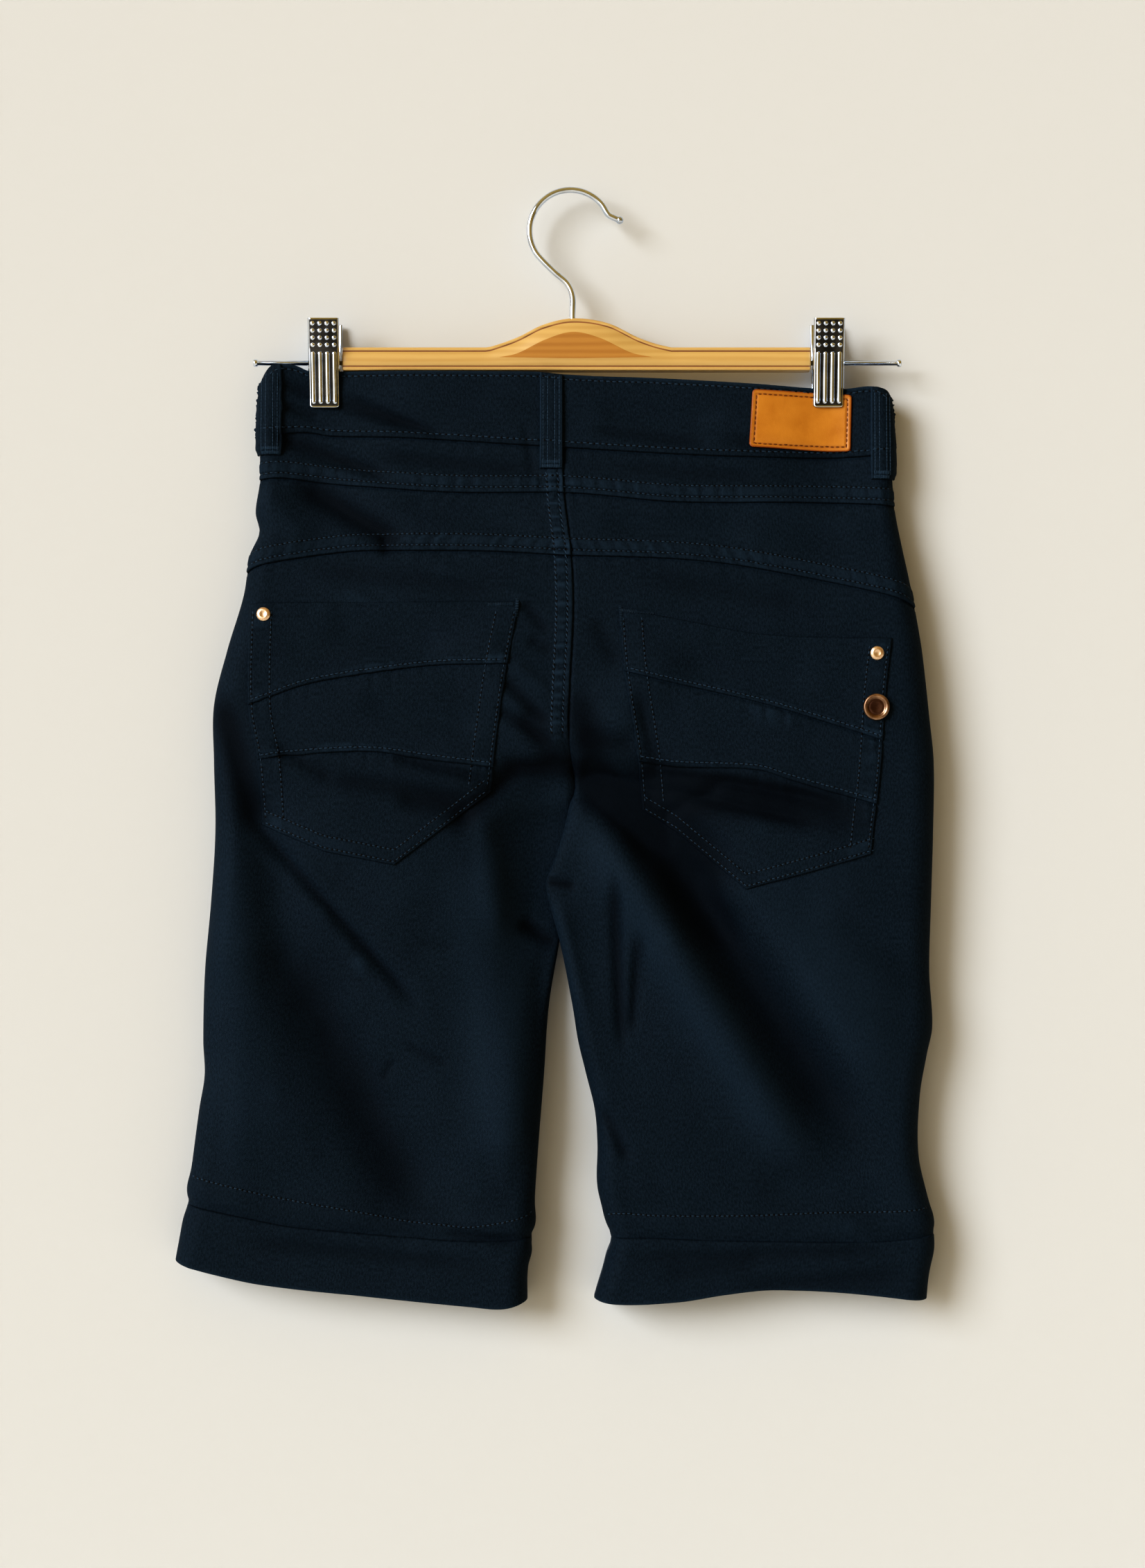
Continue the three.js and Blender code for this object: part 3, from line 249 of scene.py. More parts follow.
# Main folds, the same as in the solids: ends, half width and height, where a trough is below 0
mainFolds = [
    ("back", "left", (-214, -400), (-210, -640), 13, 2.5),
    ("back", "left", (-194, -378), (-178, -500), 15, -5.5),
    ("back", "left", (-180, -492), (-84, -645), 27, -6.5),
    ("back", "left", (-197, -403), (-99, -512), 8, -1.6),
    ("back", "left", (-54, -420), (-36, -610), 22, 5.5),
    ("back", "left", (-16, -480), (-30, -630), 9, -3.5),
    ("back", "right", (34, -378), (184, -606), 19, -8),
    ("back", "right", (12, -396), (142, -606), 18, 5.5),
    ("back", "right", (150, -400), (196, -520), 26, 3),
    ("back", "both", (-60, -280), (-12, -360), 16, 2.5),
    ("back", "both", (60, -290), (12, -360), 16, 2.5),
    ("front", "left", (-25, -372), (-150, -600), 26, -3.5),
    ("front", "left", (-90, -400), (-60, -660), 24, 2.5),
    ("front", "right", (20, -376), (70, -640), 20, -2.5),
    ("front", "right", (90, -400), (150, -640), 24, 2.5),
]

# Creases laid in over the folds
creases = [
    ("back", "left", (-197, -403), (-99, -512), 2.2, -2.9),
    ("back", "left", (-201, -409), (-105, -518), 4, 1.4),
    ("back", "left", (-119, -562), (-112, -550), 2.2, -1.5),
    ("back", "left", (-104, -540), (-78, -552), 2.2, -1.8),
    ("back", "left", (-96, -474), (-74, -479), 2.2, -0.9),
    ("back", "left", (-32, -463), (-10, -478), 4, -3.6),
    ("back", "left", (-42, -366), (4, -364), 6, -4.6),
    ("back", "left", (-74, -404), (-38, -368), 7, -3.4),
    ("back", "left", (-52, -392), (6, -384), 9, 2.6),
    ("back", "left", (-58, -385), (-44, -470), 9, 3.5),
    ("back", "left", (-57, -425), (-38, -620), 24, 3.0),
    ("back", "left", (-206, -420), (-192, -610), 24, 3.2),
    ("back", "left", (-180, -480), (-100, -645), 17, -3.0),
    ("back", "left", (-150, -430), (-92, -650), 34, -1.2),
    ("back", "left", (-160, -392), (-90, -450), 26, 2.0),
    ("back", "left", (-221, -322), (-197, -402), 9, -4.6),
    ("back", "left", (-182, -122), (-98, -152), 4, -2.4),
    ("back", "left", (-143, -130), (-80, -156), 3.5, -2.3),
    ("back", "left", (-182, -136), (-160, -143), 3, -1.8),
    ("back", "left", (-110, -126), (-30, -138), 6, 1.6),
    ("back", "left", (-188, -154), (-116, -182), 5, -3.1),
    ("back", "left", (-120, -168), (-24, -178), 5, -1.8),
    ("back", "left", (-170, -187), (-108, -224), 8, -4.5),
    ("back", "left", (-196, -190), (-168, -222), 9, 2.2),
    ("back", "left", (-106, -198), (-28, -216), 8, -2.3),
    ("back", "left", (-118, -219), (-117, -232), 3, -1.9),
    ("back", "left", (-158, -240), (-42, -254), 6, -1.4),
    ("back", "left", (-88, -238), (-22, -262), 5, 2.1),
    ("back", "left", (-150, -275), (-80, -292), 12, -2.4),
    ("back", "left", (-130, -326), (-60, -340), 8, -2.3),
    ("back", "left", (-42, -310), (-14, -337), 3.5, -2.8),
    ("back", "left", (-36, -300), (-13, -318), 3, 1.7),
    ("back", "left", (-46, -328), (-14, -349), 3.5, -2.3),
    ("back", "left", (-30, -262), (-14, -280), 3.5, -2.3),
    ("back", "left", (-26, -284), (-12, -292), 3, -2.1),
    ("back", "left", (-110, -359), (-56, -372), 4, -2.6),
    ("back", "left", (-150, -372), (-60, -386), 6, -2.5),
    ("back", "left", (-186, -352), (-150, -372), 5, -2.1),
    ("back", "right", (-15, -437), (2, -440), 2.6, -3.9),
    ("back", "right", (27, -437), (32, -539), 3.2, -3.5),
    ("back", "right", (43, -472), (38, -532), 3, -2.6),
    ("back", "right", (35, -456), (35, -530), 3.5, 1.9),
    ("back", "right", (20, -580), (36, -612), 4, -2.4),
    ("back", "right", (4, -364), (36, -396), 9, -4.0),
    ("back", "right", (14, -372), (58, -416), 11, -5.2),
    ("back", "right", (14, -396), (141, -604), 15, 4.4),
    ("back", "right", (42, -388), (178, -596), 14, -3.4),
    ("back", "right", (100, -424), (202, -560), 25, 4.2),
    ("back", "right", (42, -360), (96, -440), 17, -3.2),
    ("back", "right", (36, -392), (100, -474), 14, -3.2),
    ("back", "right", (150, -470), (206, -640), 26, 2.6),
    ("back", "right", (60, -392), (128, -440), 9, -2.6),
    ("back", "right", (-9, -452), (4, -520), 7, 3.2),
    ("back", "right", (172, -455), (222, -505), 14, -2.0),
    ("back", "right", (120, -625), (200, -640), 12, -2.8),
    ("back", "right", (14, -272), (30, -300), 6, -1.5),
    ("back", "right", (12, -316), (36, -344), 9, 1.4),
    ("back", "right", (4, -345), (40, -352), 7, -1.8),
    ("back", "right", (48, -366), (176, -388), 6, -3.1),
    ("back", "right", (60, -378), (150, -400), 5, -2.4),
    ("back", "right", (46, -380), (188, -398), 11, -3.1),
    ("back", "right", (70, -300), (150, -312), 10, -2.3),
    ("back", "right", (50, -246), (150, -262), 7, -1.3),
    ("back", "right", (20, -140), (90, -146), 8, -2.1),
    ("back", "right", (34, -176), (120, -182), 5, -1.4),
    ("back", "right", (24, -212), (110, -218), 9, -2.4),
    ("back", "right", (110, -196), (186, -214), 9, 2.1),
    ("back", "left", (-29, -150), (-23, -184), 3, -1.1),
    ("back", "left", (-108, -386), (-63, -393), 6, -2.4),
    ("back", "left", (-30, -330), (-8, -362), 7, -2.6),
    ("back", "left", (-200, -664), (-60, -678), 5, -1.6),
    ("back", "left", (-76, -658), (-32, -664), 4, -2.0),
    ("back", "right", (40, -674), (200, -669), 5, -1.6),
    ("back", "right", (60, -684), (120, -677), 6, -1.4),
    ("back", "right", (110, -692), (212, -684), 6, -1.6),
    ("back", "right", (2, -318), (24, -388), 12, -3.1),
    ("back", "right", (42, -318), (56, -372), 5, -1.8),
    ("back", "right", (54, -398), (96, -376), 5, -2.0),
    ("back", "right", (90, -372), (150, -384), 5, -1.8),
    ("back", "right", (16, -152), (84, -160), 4, -1.8),
    ("back", "right", (100, -158), (170, -168), 5, -1.6),
    ("front", "both", (-110, -190), (-30, -215), 10, -2.8),
    ("front", "both", (30, -205), (120, -190), 10, -2.4),
    ("front", "left", (-30, -352), (-120, -380), 9, -4.2),
    ("front", "right", (30, -350), (130, -386), 9, -4.5),
    ("front", "left", (-60, -420), (-180, -470), 8, -2.8),
    ("front", "right", (45, -430), (160, -470), 8, -2.8),
    ("front", "left", (-170, -520), (-90, -560), 6, -2.1),
    ("front", "right", (90, -560), (180, -530), 6, -2.1),
    ("front", "both", (-140, -126), (-80, -134), 6, -2.1),
    ("front", "both", (70, -136), (140, -142), 6, -2.1),
]


def curve(table, given, wanted):
    order = np.argsort(table[given])
    at = np.array(table[given], float)[order]
    out = np.array(table[wanted], float)[order]
    before = np.maximum(np.arange(len(at)) - 1, 0)
    after = np.minimum(np.arange(len(at)) + 1, len(at) - 1)
    slope = (out[after] - out[before]) / (at[after] - at[before])

    def follow(value):
        held = np.clip(value, at[0], at[-1])
        i = np.clip(np.searchsorted(at, held, side="right") - 1, 0, len(at) - 2)
        span = at[i + 1] - at[i]
        t = (held - at[i]) / span
        start = out[i] * (2 * t ** 3 - 3 * t ** 2 + 1) + slope[i] * span * (t ** 3 - 2 * t ** 2 + t)
        return start + out[i + 1] * (3 * t ** 2 - 2 * t ** 3) + slope[i + 1] * span * (t ** 3 - t ** 2)
    return follow


def ease(value):
    held = np.clip(value, 0.0, 1.0)
    return held * held * (3 - 2 * held)


def mix(a, b, part):
    return a + (b - a) * part


seatX = curve(seatSeam, "z", "x")
sideRound = curve(depths, "z", "sideRound")
innerRound = curve(depths, "z", "innerRound")
crossThin = curve(legCrossing, "z", "thin")
bandTop = curve(bandTopLine, "x", "z")
frontBandTop = curve(frontBandTopLine, "x", "z")
bandSeam = curve(bandSeamLine, "x", "z")
basqueSeam = curve(basqueSeamLine, "x", "z")
yokeSeam = curve(yokeSeamLine, "x", "z")


def legHalf(name, out, side, inseam, hem, cuffLine):
    return {
        "name": name, "out": out, "side": curve(side, "z", "x"), "inseam": curve(inseam, "z", "x"),
        "hem": curve(hem, "x", "z"), "cuff": curve(cuffLine, "x", "z"),
        "shift": curve(legCrossing, "z", name),
    }


halves = {
    "left": legHalf("left", -1, leftSide, leftInseam, leftHemLine, leftCuffLine),
    "right": legHalf("right", 1, rightSide, rightInseam, rightHemLine, rightCuffLine),
}
faces = {
    "back": {"name": "back", "sign": -1, "depth": curve(depths, "z", "back")},
    "front": {"name": "front", "sign": 1, "depth": curve(depths, "z", "front")},
}


def layerDepth(face, x, z, inward):
    still = np.ones_like(x)
    for clipX in cloth["clipX"]:
        across = (x - clipX) / cloth["pinchX"]
        below = np.maximum(0, cloth["clipTip"] - z) / cloth["pinchZ"]
        still = still * (1 - np.exp(-across ** 2 - below ** 2))
    full = mix(cloth["pinchDepth"], face["depth"](z), still)
    edge = mix(cloth["crossDepth"], full, ease((inward - cloth["crossFlat"]) / cloth["crossReach"]))
    return mix(full, edge, crossThin(z))


def foldShape(start, end, width, x, z):
    dx, dz = end[0] - start[0], end[1] - start[1]
    length = math.hypot(dx, dz)
    along = ((x - start[0]) * dx + (z - start[1]) * dz) / length ** 2
    off = ((x - start[0]) * dz - (z - start[1]) * dx) / length
    return np.exp(-(off / width) ** 2) * ease((along + 0.12) / 0.3) * ease((1.12 - along) / 0.3)


def foldHeight(face, half, x, z):
    total = np.zeros_like(x)
    for faceName, halfName, start, end, width, height in mainFolds + creases:
        if faceName != face["name"] or halfName not in ("both", half["name"]):
            continue
        above = 0.0 if halfName == "both" else ease((z - cloth["crotchZ"]) / 24)
        middle = mix(1.0, ease(np.abs(x) / 26), above)
        total = total + height * foldShape(start, end, width, x, z) * middle
    return total


# How far a place lies down in the narrow creases: painted shade, darkening the cloth's colour where less
# light comes
def creaseShade(faceName, x, z):
    total = np.zeros_like(x)
    for name, halfName, start, end, width, height in creases:
        if name == faceName and height < 0 and (width <= 7 or height <= -3):
            total = total - height * foldShape(start, end, width, x, z)
    return np.clip(total / 4, 0, 1)


# Where a panel's cloth turns at its side and at its middle, and how round it is there
def edges(half, z, gap):
    rise = np.clip((cloth["crotchZ"] + cloth["crotchRise"] - z) / cloth["crotchRise"], 0, 1)
    roundIn = 1 - np.sqrt(np.maximum(0, 1 - rise ** 2))
    outer = half["side"](z) - half["out"] * cloth["wall"] / 2
    tilt = np.minimum(1, 1.6 * np.sqrt(roundIn))
    seam = seatX(z) + half["out"] * (gap + cloth["wall"] * tilt) / 2
    leg = half["inseam"](z) + half["out"] * cloth["wall"] / 2
    inner = np.where(z > cloth["crotchZ"], seam, leg)
    return outer, inner, roundIn


# A place on the cloth: s runs from the side, 0, to the seat seam or the inseam, 1
def facePoint(face, half, s, z, seam=None):
    share = cloth["rollShare"]
    outer, inner, roundIn = edges(half, z, 0.0 if seam is None else seam(half, z))
    outerAngle = np.minimum(s, share) / share * math.pi / 2
    innerAngle = np.minimum(1 - s, share) / share * math.pi / 2
    innerRun = innerRound(z) * mix(innerAngle / (math.pi / 2), 1 - np.cos(innerAngle), roundIn)
    total = np.abs(inner - outer)
    flat = np.clip((s - share) / (1 - 2 * share), 0, 1)
    run = np.where(
        s <= share, sideRound(z) * (1 - np.cos(outerAngle)),
        np.where(s >= 1 - share, total - innerRun, mix(sideRound(z), total - innerRound(z), flat)))
    x = outer - half["out"] * run
    rounding = np.sin(outerAngle) * mix(1, np.sin(innerAngle), roundIn)
    inward = total - run
    crossEnd = cloth["crossReach"] + cloth["crossFade"]
    crossed = np.where(z < cloth["crotchZ"], 1 - ease((inward - cloth["crossFlat"]) / crossEnd), 0)
    depth = layerDepth(face, x, z, inward) * rounding
    least = cloth["leastShare"] * np.minimum(depth, cloth["leastDepth"])
    over = depth + foldHeight(face, half, x, z) * rounding ** 2 - least
    folded = least + (over + np.hypot(over, cloth["leastShare"] * least)) / 2
    y = half["shift"](z) * crossed + face["sign"] * folded
    return np.stack([x, y, z], -1)


# A place between two lines across the garment, v from the upper to the lower one, found in a few rounds
def stripPlace(strip, s, v):
    x = mix(strip["half"]["side"](cloth["crotchZ"]), 0, s)
    for attempt in range(6):
        z = mix(strip["top"](x), strip["bottom"](x), v)
        at = facePoint(strip["face"], strip["half"], s, z, strip["seam"])
        x = at[..., 0]
    return at


def unit(vectors):
    return vectors / np.maximum(np.linalg.norm(vectors, axis=-1, keepdims=True), 1e-9)


def stripNormals(strip, s, v):
    step = 2e-3
    across = stripPlace(strip, s + step, v) - stripPlace(strip, s - step, v)
    down = stripPlace(strip, s, np.minimum(v + step, 1)) - stripPlace(strip, s, np.maximum(v - step, 0))
    return unit(np.cross(across, down)) * (-strip["face"]["sign"] * strip["half"]["out"])


# The share s that belongs to a place across a half
def shareAt(half, x, z):
    share = cloth["rollShare"]
    outer, inner, roundIn = edges(half, z, 0.0)
    run = np.clip((outer - x) * half["out"], 0, None)
    total = np.abs(inner - outer)
    side, near = sideRound(z), innerRound(z)
    rolled = np.arccos(np.clip(1 - run / side, -1, 1)) / (math.pi / 2) * share
    flat = share + (run - side) / (total - near - side) * (1 - 2 * share)
    left = np.clip((total - run) / near, 0, 1)
    end = 1 - share * mix(left, np.arccos(np.clip(1 - left, -1, 1)) / (math.pi / 2), roundIn)
    return np.where(run < side, rolled, np.where(run > total - near, end, flat))


def surfaceAt(face, x, z):
    x, z = np.asarray(x, float), np.asarray(z, float)
    step = 0.4

    def place(px, pz):
        found = np.zeros(px.shape + (3,))
        isLeft = px < seatX(pz)
        for name, chosen in (("left", isLeft), ("right", ~isLeft)):
            if chosen.any():
                half = halves[name]
                share = shareAt(half, px[chosen], pz[chosen])
                found[chosen] = facePoint(face, half, share, pz[chosen])
        return found

    at = place(x, z)
    across = place(x + step, z) - place(x - step, z)
    down = place(x, z - step) - place(x, z + step)
    return at, unit(np.cross(across, down)) * face["sign"]


# Small uneven waves: puckers along the seams and slack in the panels, the same every run
seeds = np.random.default_rng(11)
waveRates = seeds.uniform(0.5, 1.6, 7)
wavePhases = seeds.uniform(0, 6.28, 7)
waveSizes = seeds.uniform(0.4, 1.0, 7)


def unevenWave(run, length, salt=0.0):
    total = np.zeros_like(run)
    for rate, phase, size in zip(waveRates, wavePhases, waveSizes):
        total = total + size * np.sin(run / length * 6.283 * rate + phase + salt * rate * 3.1)
    return total / 3.0


def slack(x, z, salt):
    slow = unevenWave(x + 0.6 * z, 95, salt) * unevenWave(z - 0.4 * x, 120, salt + 1)
    quick = unevenWave(0.8 * x + z, 34, salt + 2) * unevenWave(x - 0.7 * z, 47, salt + 3)
    crumple = unevenWave(x + 0.3 * z, 15, salt + 5) * unevenWave(z - 0.2 * x, 21, salt + 6)
    return 0.8 * slow + 0.45 * quick + 0.16 * crumple


def edgeRound(distance, radius):
    near = np.clip(1 - distance / radius, 0, 1)
    return -radius * (1 - np.sqrt(np.maximum(0, 1 - near ** 2)))


def groove(distance, at, depth, width=0.8):
    return -depth * np.exp(-((distance - at) / width) ** 2)


# A felled seam seen from the piece on top: a doubled strip with two sewn rows and small puckers
felled = {"strip": 12.4, "raise": 0.62, "rows": (3.5, 10.6), "groove": 0.5, "pucker": 0.34, "round": 0.7}


def felledRelief(distance, run, salt):
    strip = felled["raise"] * ease((felled["strip"] - distance) / 1.8)
    rows = sum(groove(distance, at, felled["groove"]) for at in felled["rows"])
    along = felled["pucker"] * unevenWave(run, 6.2, salt) * np.exp(-((distance - 6) / 7) ** 2)
    return strip + rows + along + edgeRound(distance, felled["round"])


# The same seam on the piece that runs in under the strip
def tuckedRelief(distance, run, salt):
    along = 0.24 * unevenWave(run, 6.8, salt) * np.exp(-((distance - 3.5) / 6.5) ** 2)
    return along - 1.0 * ease((2.4 - distance) / 2.2)


# Shares along a length in millimetres, close together at a fine end
def spread(length, pitch, fineStart=0.0, fineEnd=0.0, finePitch=0.7):
    place = [0.0]
    while place[-1] < length:
        here = place[-1]
        fine = here < fineStart or length - here < fineEnd
        place.append(here + (finePitch if fine else pitch))
    return np.array(place) / place[-1]


def acrossShares(flatPitch):
    return np.concatenate([
        np.linspace(0, 0.2, 13),
        0.2 + 0.565 * spread(160, flatPitch)[1:],
        np.linspace(0.765, 0.8, 9)[1:],
        np.linspace(0.8, 1.0, 13)[1:],
    ])


clothPieces = {}
skins = {"back": [], "front": []}


# A sheet laid on rows of places; tracks are its flat measures, and its per-point value is how rubbed it is,
# or below 0 how much painted crease shade it takes
def gridMesh(name, places, outward, wearAndPaintedShade=None, tracks=None):
    rows, columns = places.shape[:2]
    outward = np.broadcast_to(outward, places.shape)
    bm = bmesh.new()
    bmesh.ops.create_grid(bm, x_segments=columns - 1, y_segments=rows - 1, size=1.0)
    mesh = bpy.data.meshes.new(name)
    bm.to_mesh(mesh)
    bm.free()
    flat = np.empty(len(mesh.vertices) * 3)
    mesh.vertices.foreach_get("co", flat)
    flat = flat.reshape(-1, 3)
    low, high = flat.min(axis=0), flat.max(axis=0)
    j = np.rint((flat[:, 0] - low[0]) / (high[0] - low[0]) * (columns - 1)).astype(int)
    i = np.rint((high[1] - flat[:, 1]) / (high[1] - low[1]) * (rows - 1)).astype(int)
    mesh.vertices.foreach_set("co", (places[i, j] * mm).ravel())
    if tracks is None:
        steps = np.linalg.norm(np.diff(places, axis=1), axis=2)
        run = np.concatenate([np.zeros((rows, 1)), np.cumsum(steps, axis=1)], axis=1)
        tracks = np.stack([run - run[:, columns // 2:columns // 2 + 1], places[..., 2]], -1)
    corner = np.empty(len(mesh.loops), int)
    mesh.loops.foreach_get("vertex_index", corner)
    sheetMap = mesh.uv_layers.new(name="UVMap")
    sheetMap.data.foreach_set("uv", (tracks[i, j][corner] * mm).ravel())
    rub = mesh.attributes.new("wearAndPaintedShade", "FLOAT", "POINT")
    rub.data.foreach_set("value", (np.zeros(len(i)) if wearAndPaintedShade is None else wearAndPaintedShade[i, j]))
    mesh.polygons.foreach_set("use_smooth", np.ones(len(mesh.polygons), bool))
    mesh.update()
    middle = mesh.polygons[len(mesh.polygons) // 2]
    wanted = outward[i, j][middle.vertices[0]]
    if Vector(middle.normal).dot(Vector(wanted)) < 0:
        mesh.flip_normals()
    return mesh


def addObject(name, mesh, material, nodes=()):
    piece = bpy.data.objects.new(name, mesh)
    scene.collection.objects.link(piece)
    if material:
        mesh.materials.append(material)
    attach(piece, "root")
    if nodes:
        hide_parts(*nodes)
    return piece


def thicken(piece, wall):
    solid = piece.modifiers.new("wall", "SOLIDIFY")
    solid.thickness = wall * mm
    solid.offset = -1
    solid.use_even_offset = False
    return piece


# Cloth laid over a grid: its outer side, with the wall inside it
def layCloth(node, places, outward, wall, faceName, wearAndPaintedShade):
    # Painted shade: the creases' depth goes into the per-point value below 0, so the cloth is coloured darker
    # there
    shade = creaseShade(faceName, places[..., 0], places[..., 2])
    mesh = gridMesh(node, places, outward, wearAndPaintedShade * (1 - shade) - 0.8 * shade)
    nodes = [node, node.replace("_leg_", "_rise_")] if "_leg_" in node else [node]
    piece = thicken(addObject(node + "Cloth", mesh, clothMaterial, nodes), wall)
    skins[faceName].append(mesh)
    steps = np.linalg.norm(np.diff(places, axis=1), axis=2).sum(axis=1)
    falls = np.linalg.norm(np.diff(places, axis=0), axis=2).sum(axis=0)
    area = sum(polygon.area for polygon in mesh.polygons)
    flat = (round(float(steps.max()) * mm, 4), round(float(falls.max()) * mm, 4))
    clothPieces[node] = {"piece": piece, "flat": flat, "area": round(area, 5)}


print("measures ready")

# Materials, all procedural: yarns, leather grain, wood rings and worn metal at real scale


def newGroup(name, inputs, outputs):
    group = bpy.data.node_groups.new(name, "ShaderNodeTree")
    for label, kind, value in inputs:
        entry = group.interface.new_socket(name=label, in_out="INPUT", socket_type=kind)
        if value is not None:
            entry.default_value = value
    for label in outputs:
        group.interface.new_socket(name=label, in_out="OUTPUT", socket_type="NodeSocketFloat")
    return group, group.nodes.new("NodeGroupInput"), group.nodes.new("NodeGroupOutput")


def mathNode(tree, operation, first, second=None, clamp=False):
    node = tree.nodes.new("ShaderNodeMath")
    node.operation = operation
    node.use_clamp = clamp
    for place, value in enumerate((first, second)):
        if value is None:
            continue
        if isinstance(value, (int, float)):
            node.inputs[place].default_value = value
        else:
            tree.links.new(value, node.inputs[place])
    return node.outputs[0]


# The sum of several values, each with its weight
def weighted(tree, *parts):
    shares = [mathNode(tree, "MULTIPLY", value, weight) for value, weight in parts]
    total = shares[0]
    for share in shares[1:]:
        total = mathNode(tree, "ADD", total, share)
    return total


def noiseNode(tree, vector, scale, detail=3.0, roughness=0.5):
    node = tree.nodes.new("ShaderNodeTexNoise")
    node.inputs["Scale"].default_value = scale
    node.inputs["Detail"].default_value = detail
    node.inputs["Roughness"].default_value = roughness
    tree.links.new(vector, node.inputs["Vector"])
    return node.outputs["Fac"]


def turned(tree, vector, angle=0.0, stretch=(1, 1, 1)):
    node = tree.nodes.new("ShaderNodeMapping")
    node.inputs["Rotation"].default_value = (0, 0, math.radians(angle))
    node.inputs["Scale"].default_value = stretch
    tree.links.new(vector, node.inputs["Vector"])
    return node.outputs["Vector"]


def waveNode(tree, vector, pitch, distortion=0.0):
    node = tree.nodes.new("ShaderNodeTexWave")
    node.bands_direction = "X"
    node.inputs["Scale"].default_value = 0.31416 / (pitch * mm)
    node.inputs["Distortion"].default_value = distortion
    node.inputs["Detail"].default_value = 1.0
    node.inputs["Detail Scale"].default_value = 0.6
    tree.links.new(vector, node.inputs["Vector"])
    return node.outputs["Fac"]


# Twill weave: diagonal ribs crossed by fine yarns, with slubs and a slow unevenness of the dye
def buildTwillGroup():
    tree, given, made = newGroup("twillWeave", [("Cloth", "NodeSocketVector", None)], ["Height", "Mottle"])
    vector = given.outputs["Cloth"]
    rib = waveNode(tree, turned(tree, vector, 58), 0.62, 0.6)
    yarn = waveNode(tree, turned(tree, vector, 0), 0.34, 0.4)
    slub = noiseNode(tree, turned(tree, vector, 0, (1, 0.16, 1)), 1500, 2.0)
    patchy = noiseNode(tree, vector, 26, 3.0, 0.55)
    speck = noiseNode(tree, turned(tree, vector, 0, (1, 0.45, 1)), 1000, 2.0, 0.6)
    tree.links.new(weighted(tree, (rib, 0.55), (yarn, 0.2), (slub, 0.35)), made.inputs["Height"])
    tree.links.new(weighted(tree, (patchy, 0.16), (speck, 0.84)), made.inputs["Mottle"])
    return tree


# Fine pores and creases of tanned leather
def buildGrainGroup():
    tree, given, made = newGroup("leatherGrain", [("Skin", "NodeSocketVector", None)], ["Height", "Mottle"])
    vector = given.outputs["Skin"]
    cells = tree.nodes.new("ShaderNodeTexVoronoi")
    cells.feature = "DISTANCE_TO_EDGE"
    cells.inputs["Scale"].default_value = 900
    tree.links.new(vector, cells.inputs["Vector"])
    wrinkle = noiseNode(tree, vector, 260, 4.0, 0.6)
    pores = mathNode(tree, "MULTIPLY", cells.outputs["Distance"], 1.1)
    tree.links.new(mathNode(tree, "ADD", pores, wrinkle), made.inputs["Height"])
    tree.links.new(noiseNode(tree, vector, 70, 4.0, 0.55), made.inputs["Mottle"])
    return tree


# Long grain of a planed board, with soft rings and short pores
def buildBoardGroup():
    tree, given, made = newGroup("boardGrain", [("Board", "NodeSocketVector", None)], ["Height", "Mottle"])
    vector = turned(tree, given.outputs["Board"], 0, (0.09, 1, 1))
    ring = tree.nodes.new("ShaderNodeTexWave")
    ring.bands_direction = "Z"
    ring.inputs["Scale"].default_value = 62
    ring.inputs["Distortion"].default_value = 3.5
    ring.inputs["Detail"].default_value = 3.0
    ring.inputs["Detail Scale"].default_value = 1.4
    tree.links.new(vector, ring.inputs["Vector"])
    pores = noiseNode(tree, vector, 900, 2.0, 0.7)
    tree.links.new(pores, made.inputs["Height"])
    tree.links.new(weighted(tree, (ring.outputs["Fac"], 0.6), (pores, 0.4)), made.inputs["Mottle"])
    return tree


twillGroup = buildTwillGroup()
grainGroup = buildGrainGroup()
boardGroup = buildBoardGroup()


def startMaterial(name, group, source):
    material = bpy.data.materials.new(name)
    material.use_nodes = True
    tree = material.node_tree
    place = tree.nodes.new("ShaderNodeTexCoord")
    detail = tree.nodes.new("ShaderNodeGroup")
    detail.node_tree = group
    tree.links.new(place.outputs[source], detail.inputs[0])
    return material, tree, tree.nodes["Principled BSDF"], detail, place


def rampColours(tree, factor, stops):
    ramp = tree.nodes.new("ShaderNodeValToRGB")
    while len(ramp.color_ramp.elements) < len(stops):
        ramp.color_ramp.elements.new(0.5)
    for element, (at, colour) in zip(ramp.color_ramp.elements, stops):
        element.position = at
        element.color = (*colour, 1)
    tree.links.new(factor, ramp.inputs["Fac"])
    return ramp.outputs["Color"]


def addBump(tree, surface, height, strength, distance):
    bump = tree.nodes.new("ShaderNodeBump")
    bump.inputs["Strength"].default_value = strength
    bump.inputs["Distance"].default_value = distance
    tree.links.new(height, bump.inputs["Height"])
    tree.links.new(bump.outputs["Normal"], surface.inputs["Normal"])


def attributeNode(tree, name):
    node = tree.nodes.new("ShaderNodeAttribute")
    node.attribute_name = name
    return node.outputs["Fac"]


clothLook = {
    "deep": (0.0038, 0.0088, 0.0145), "mid": (0.0086, 0.017, 0.0275), "worn": (0.019, 0.038, 0.062),
    "shade": (0.0016, 0.0034, 0.0062),
    "roughness": 0.7, "specular": 0.06, "bump": 0.5, "relief": 0.00016,
    "sheen": 0.012, "sheenRoughness": 0.42, "sheenTint": (0.32, 0.5, 0.78),
}


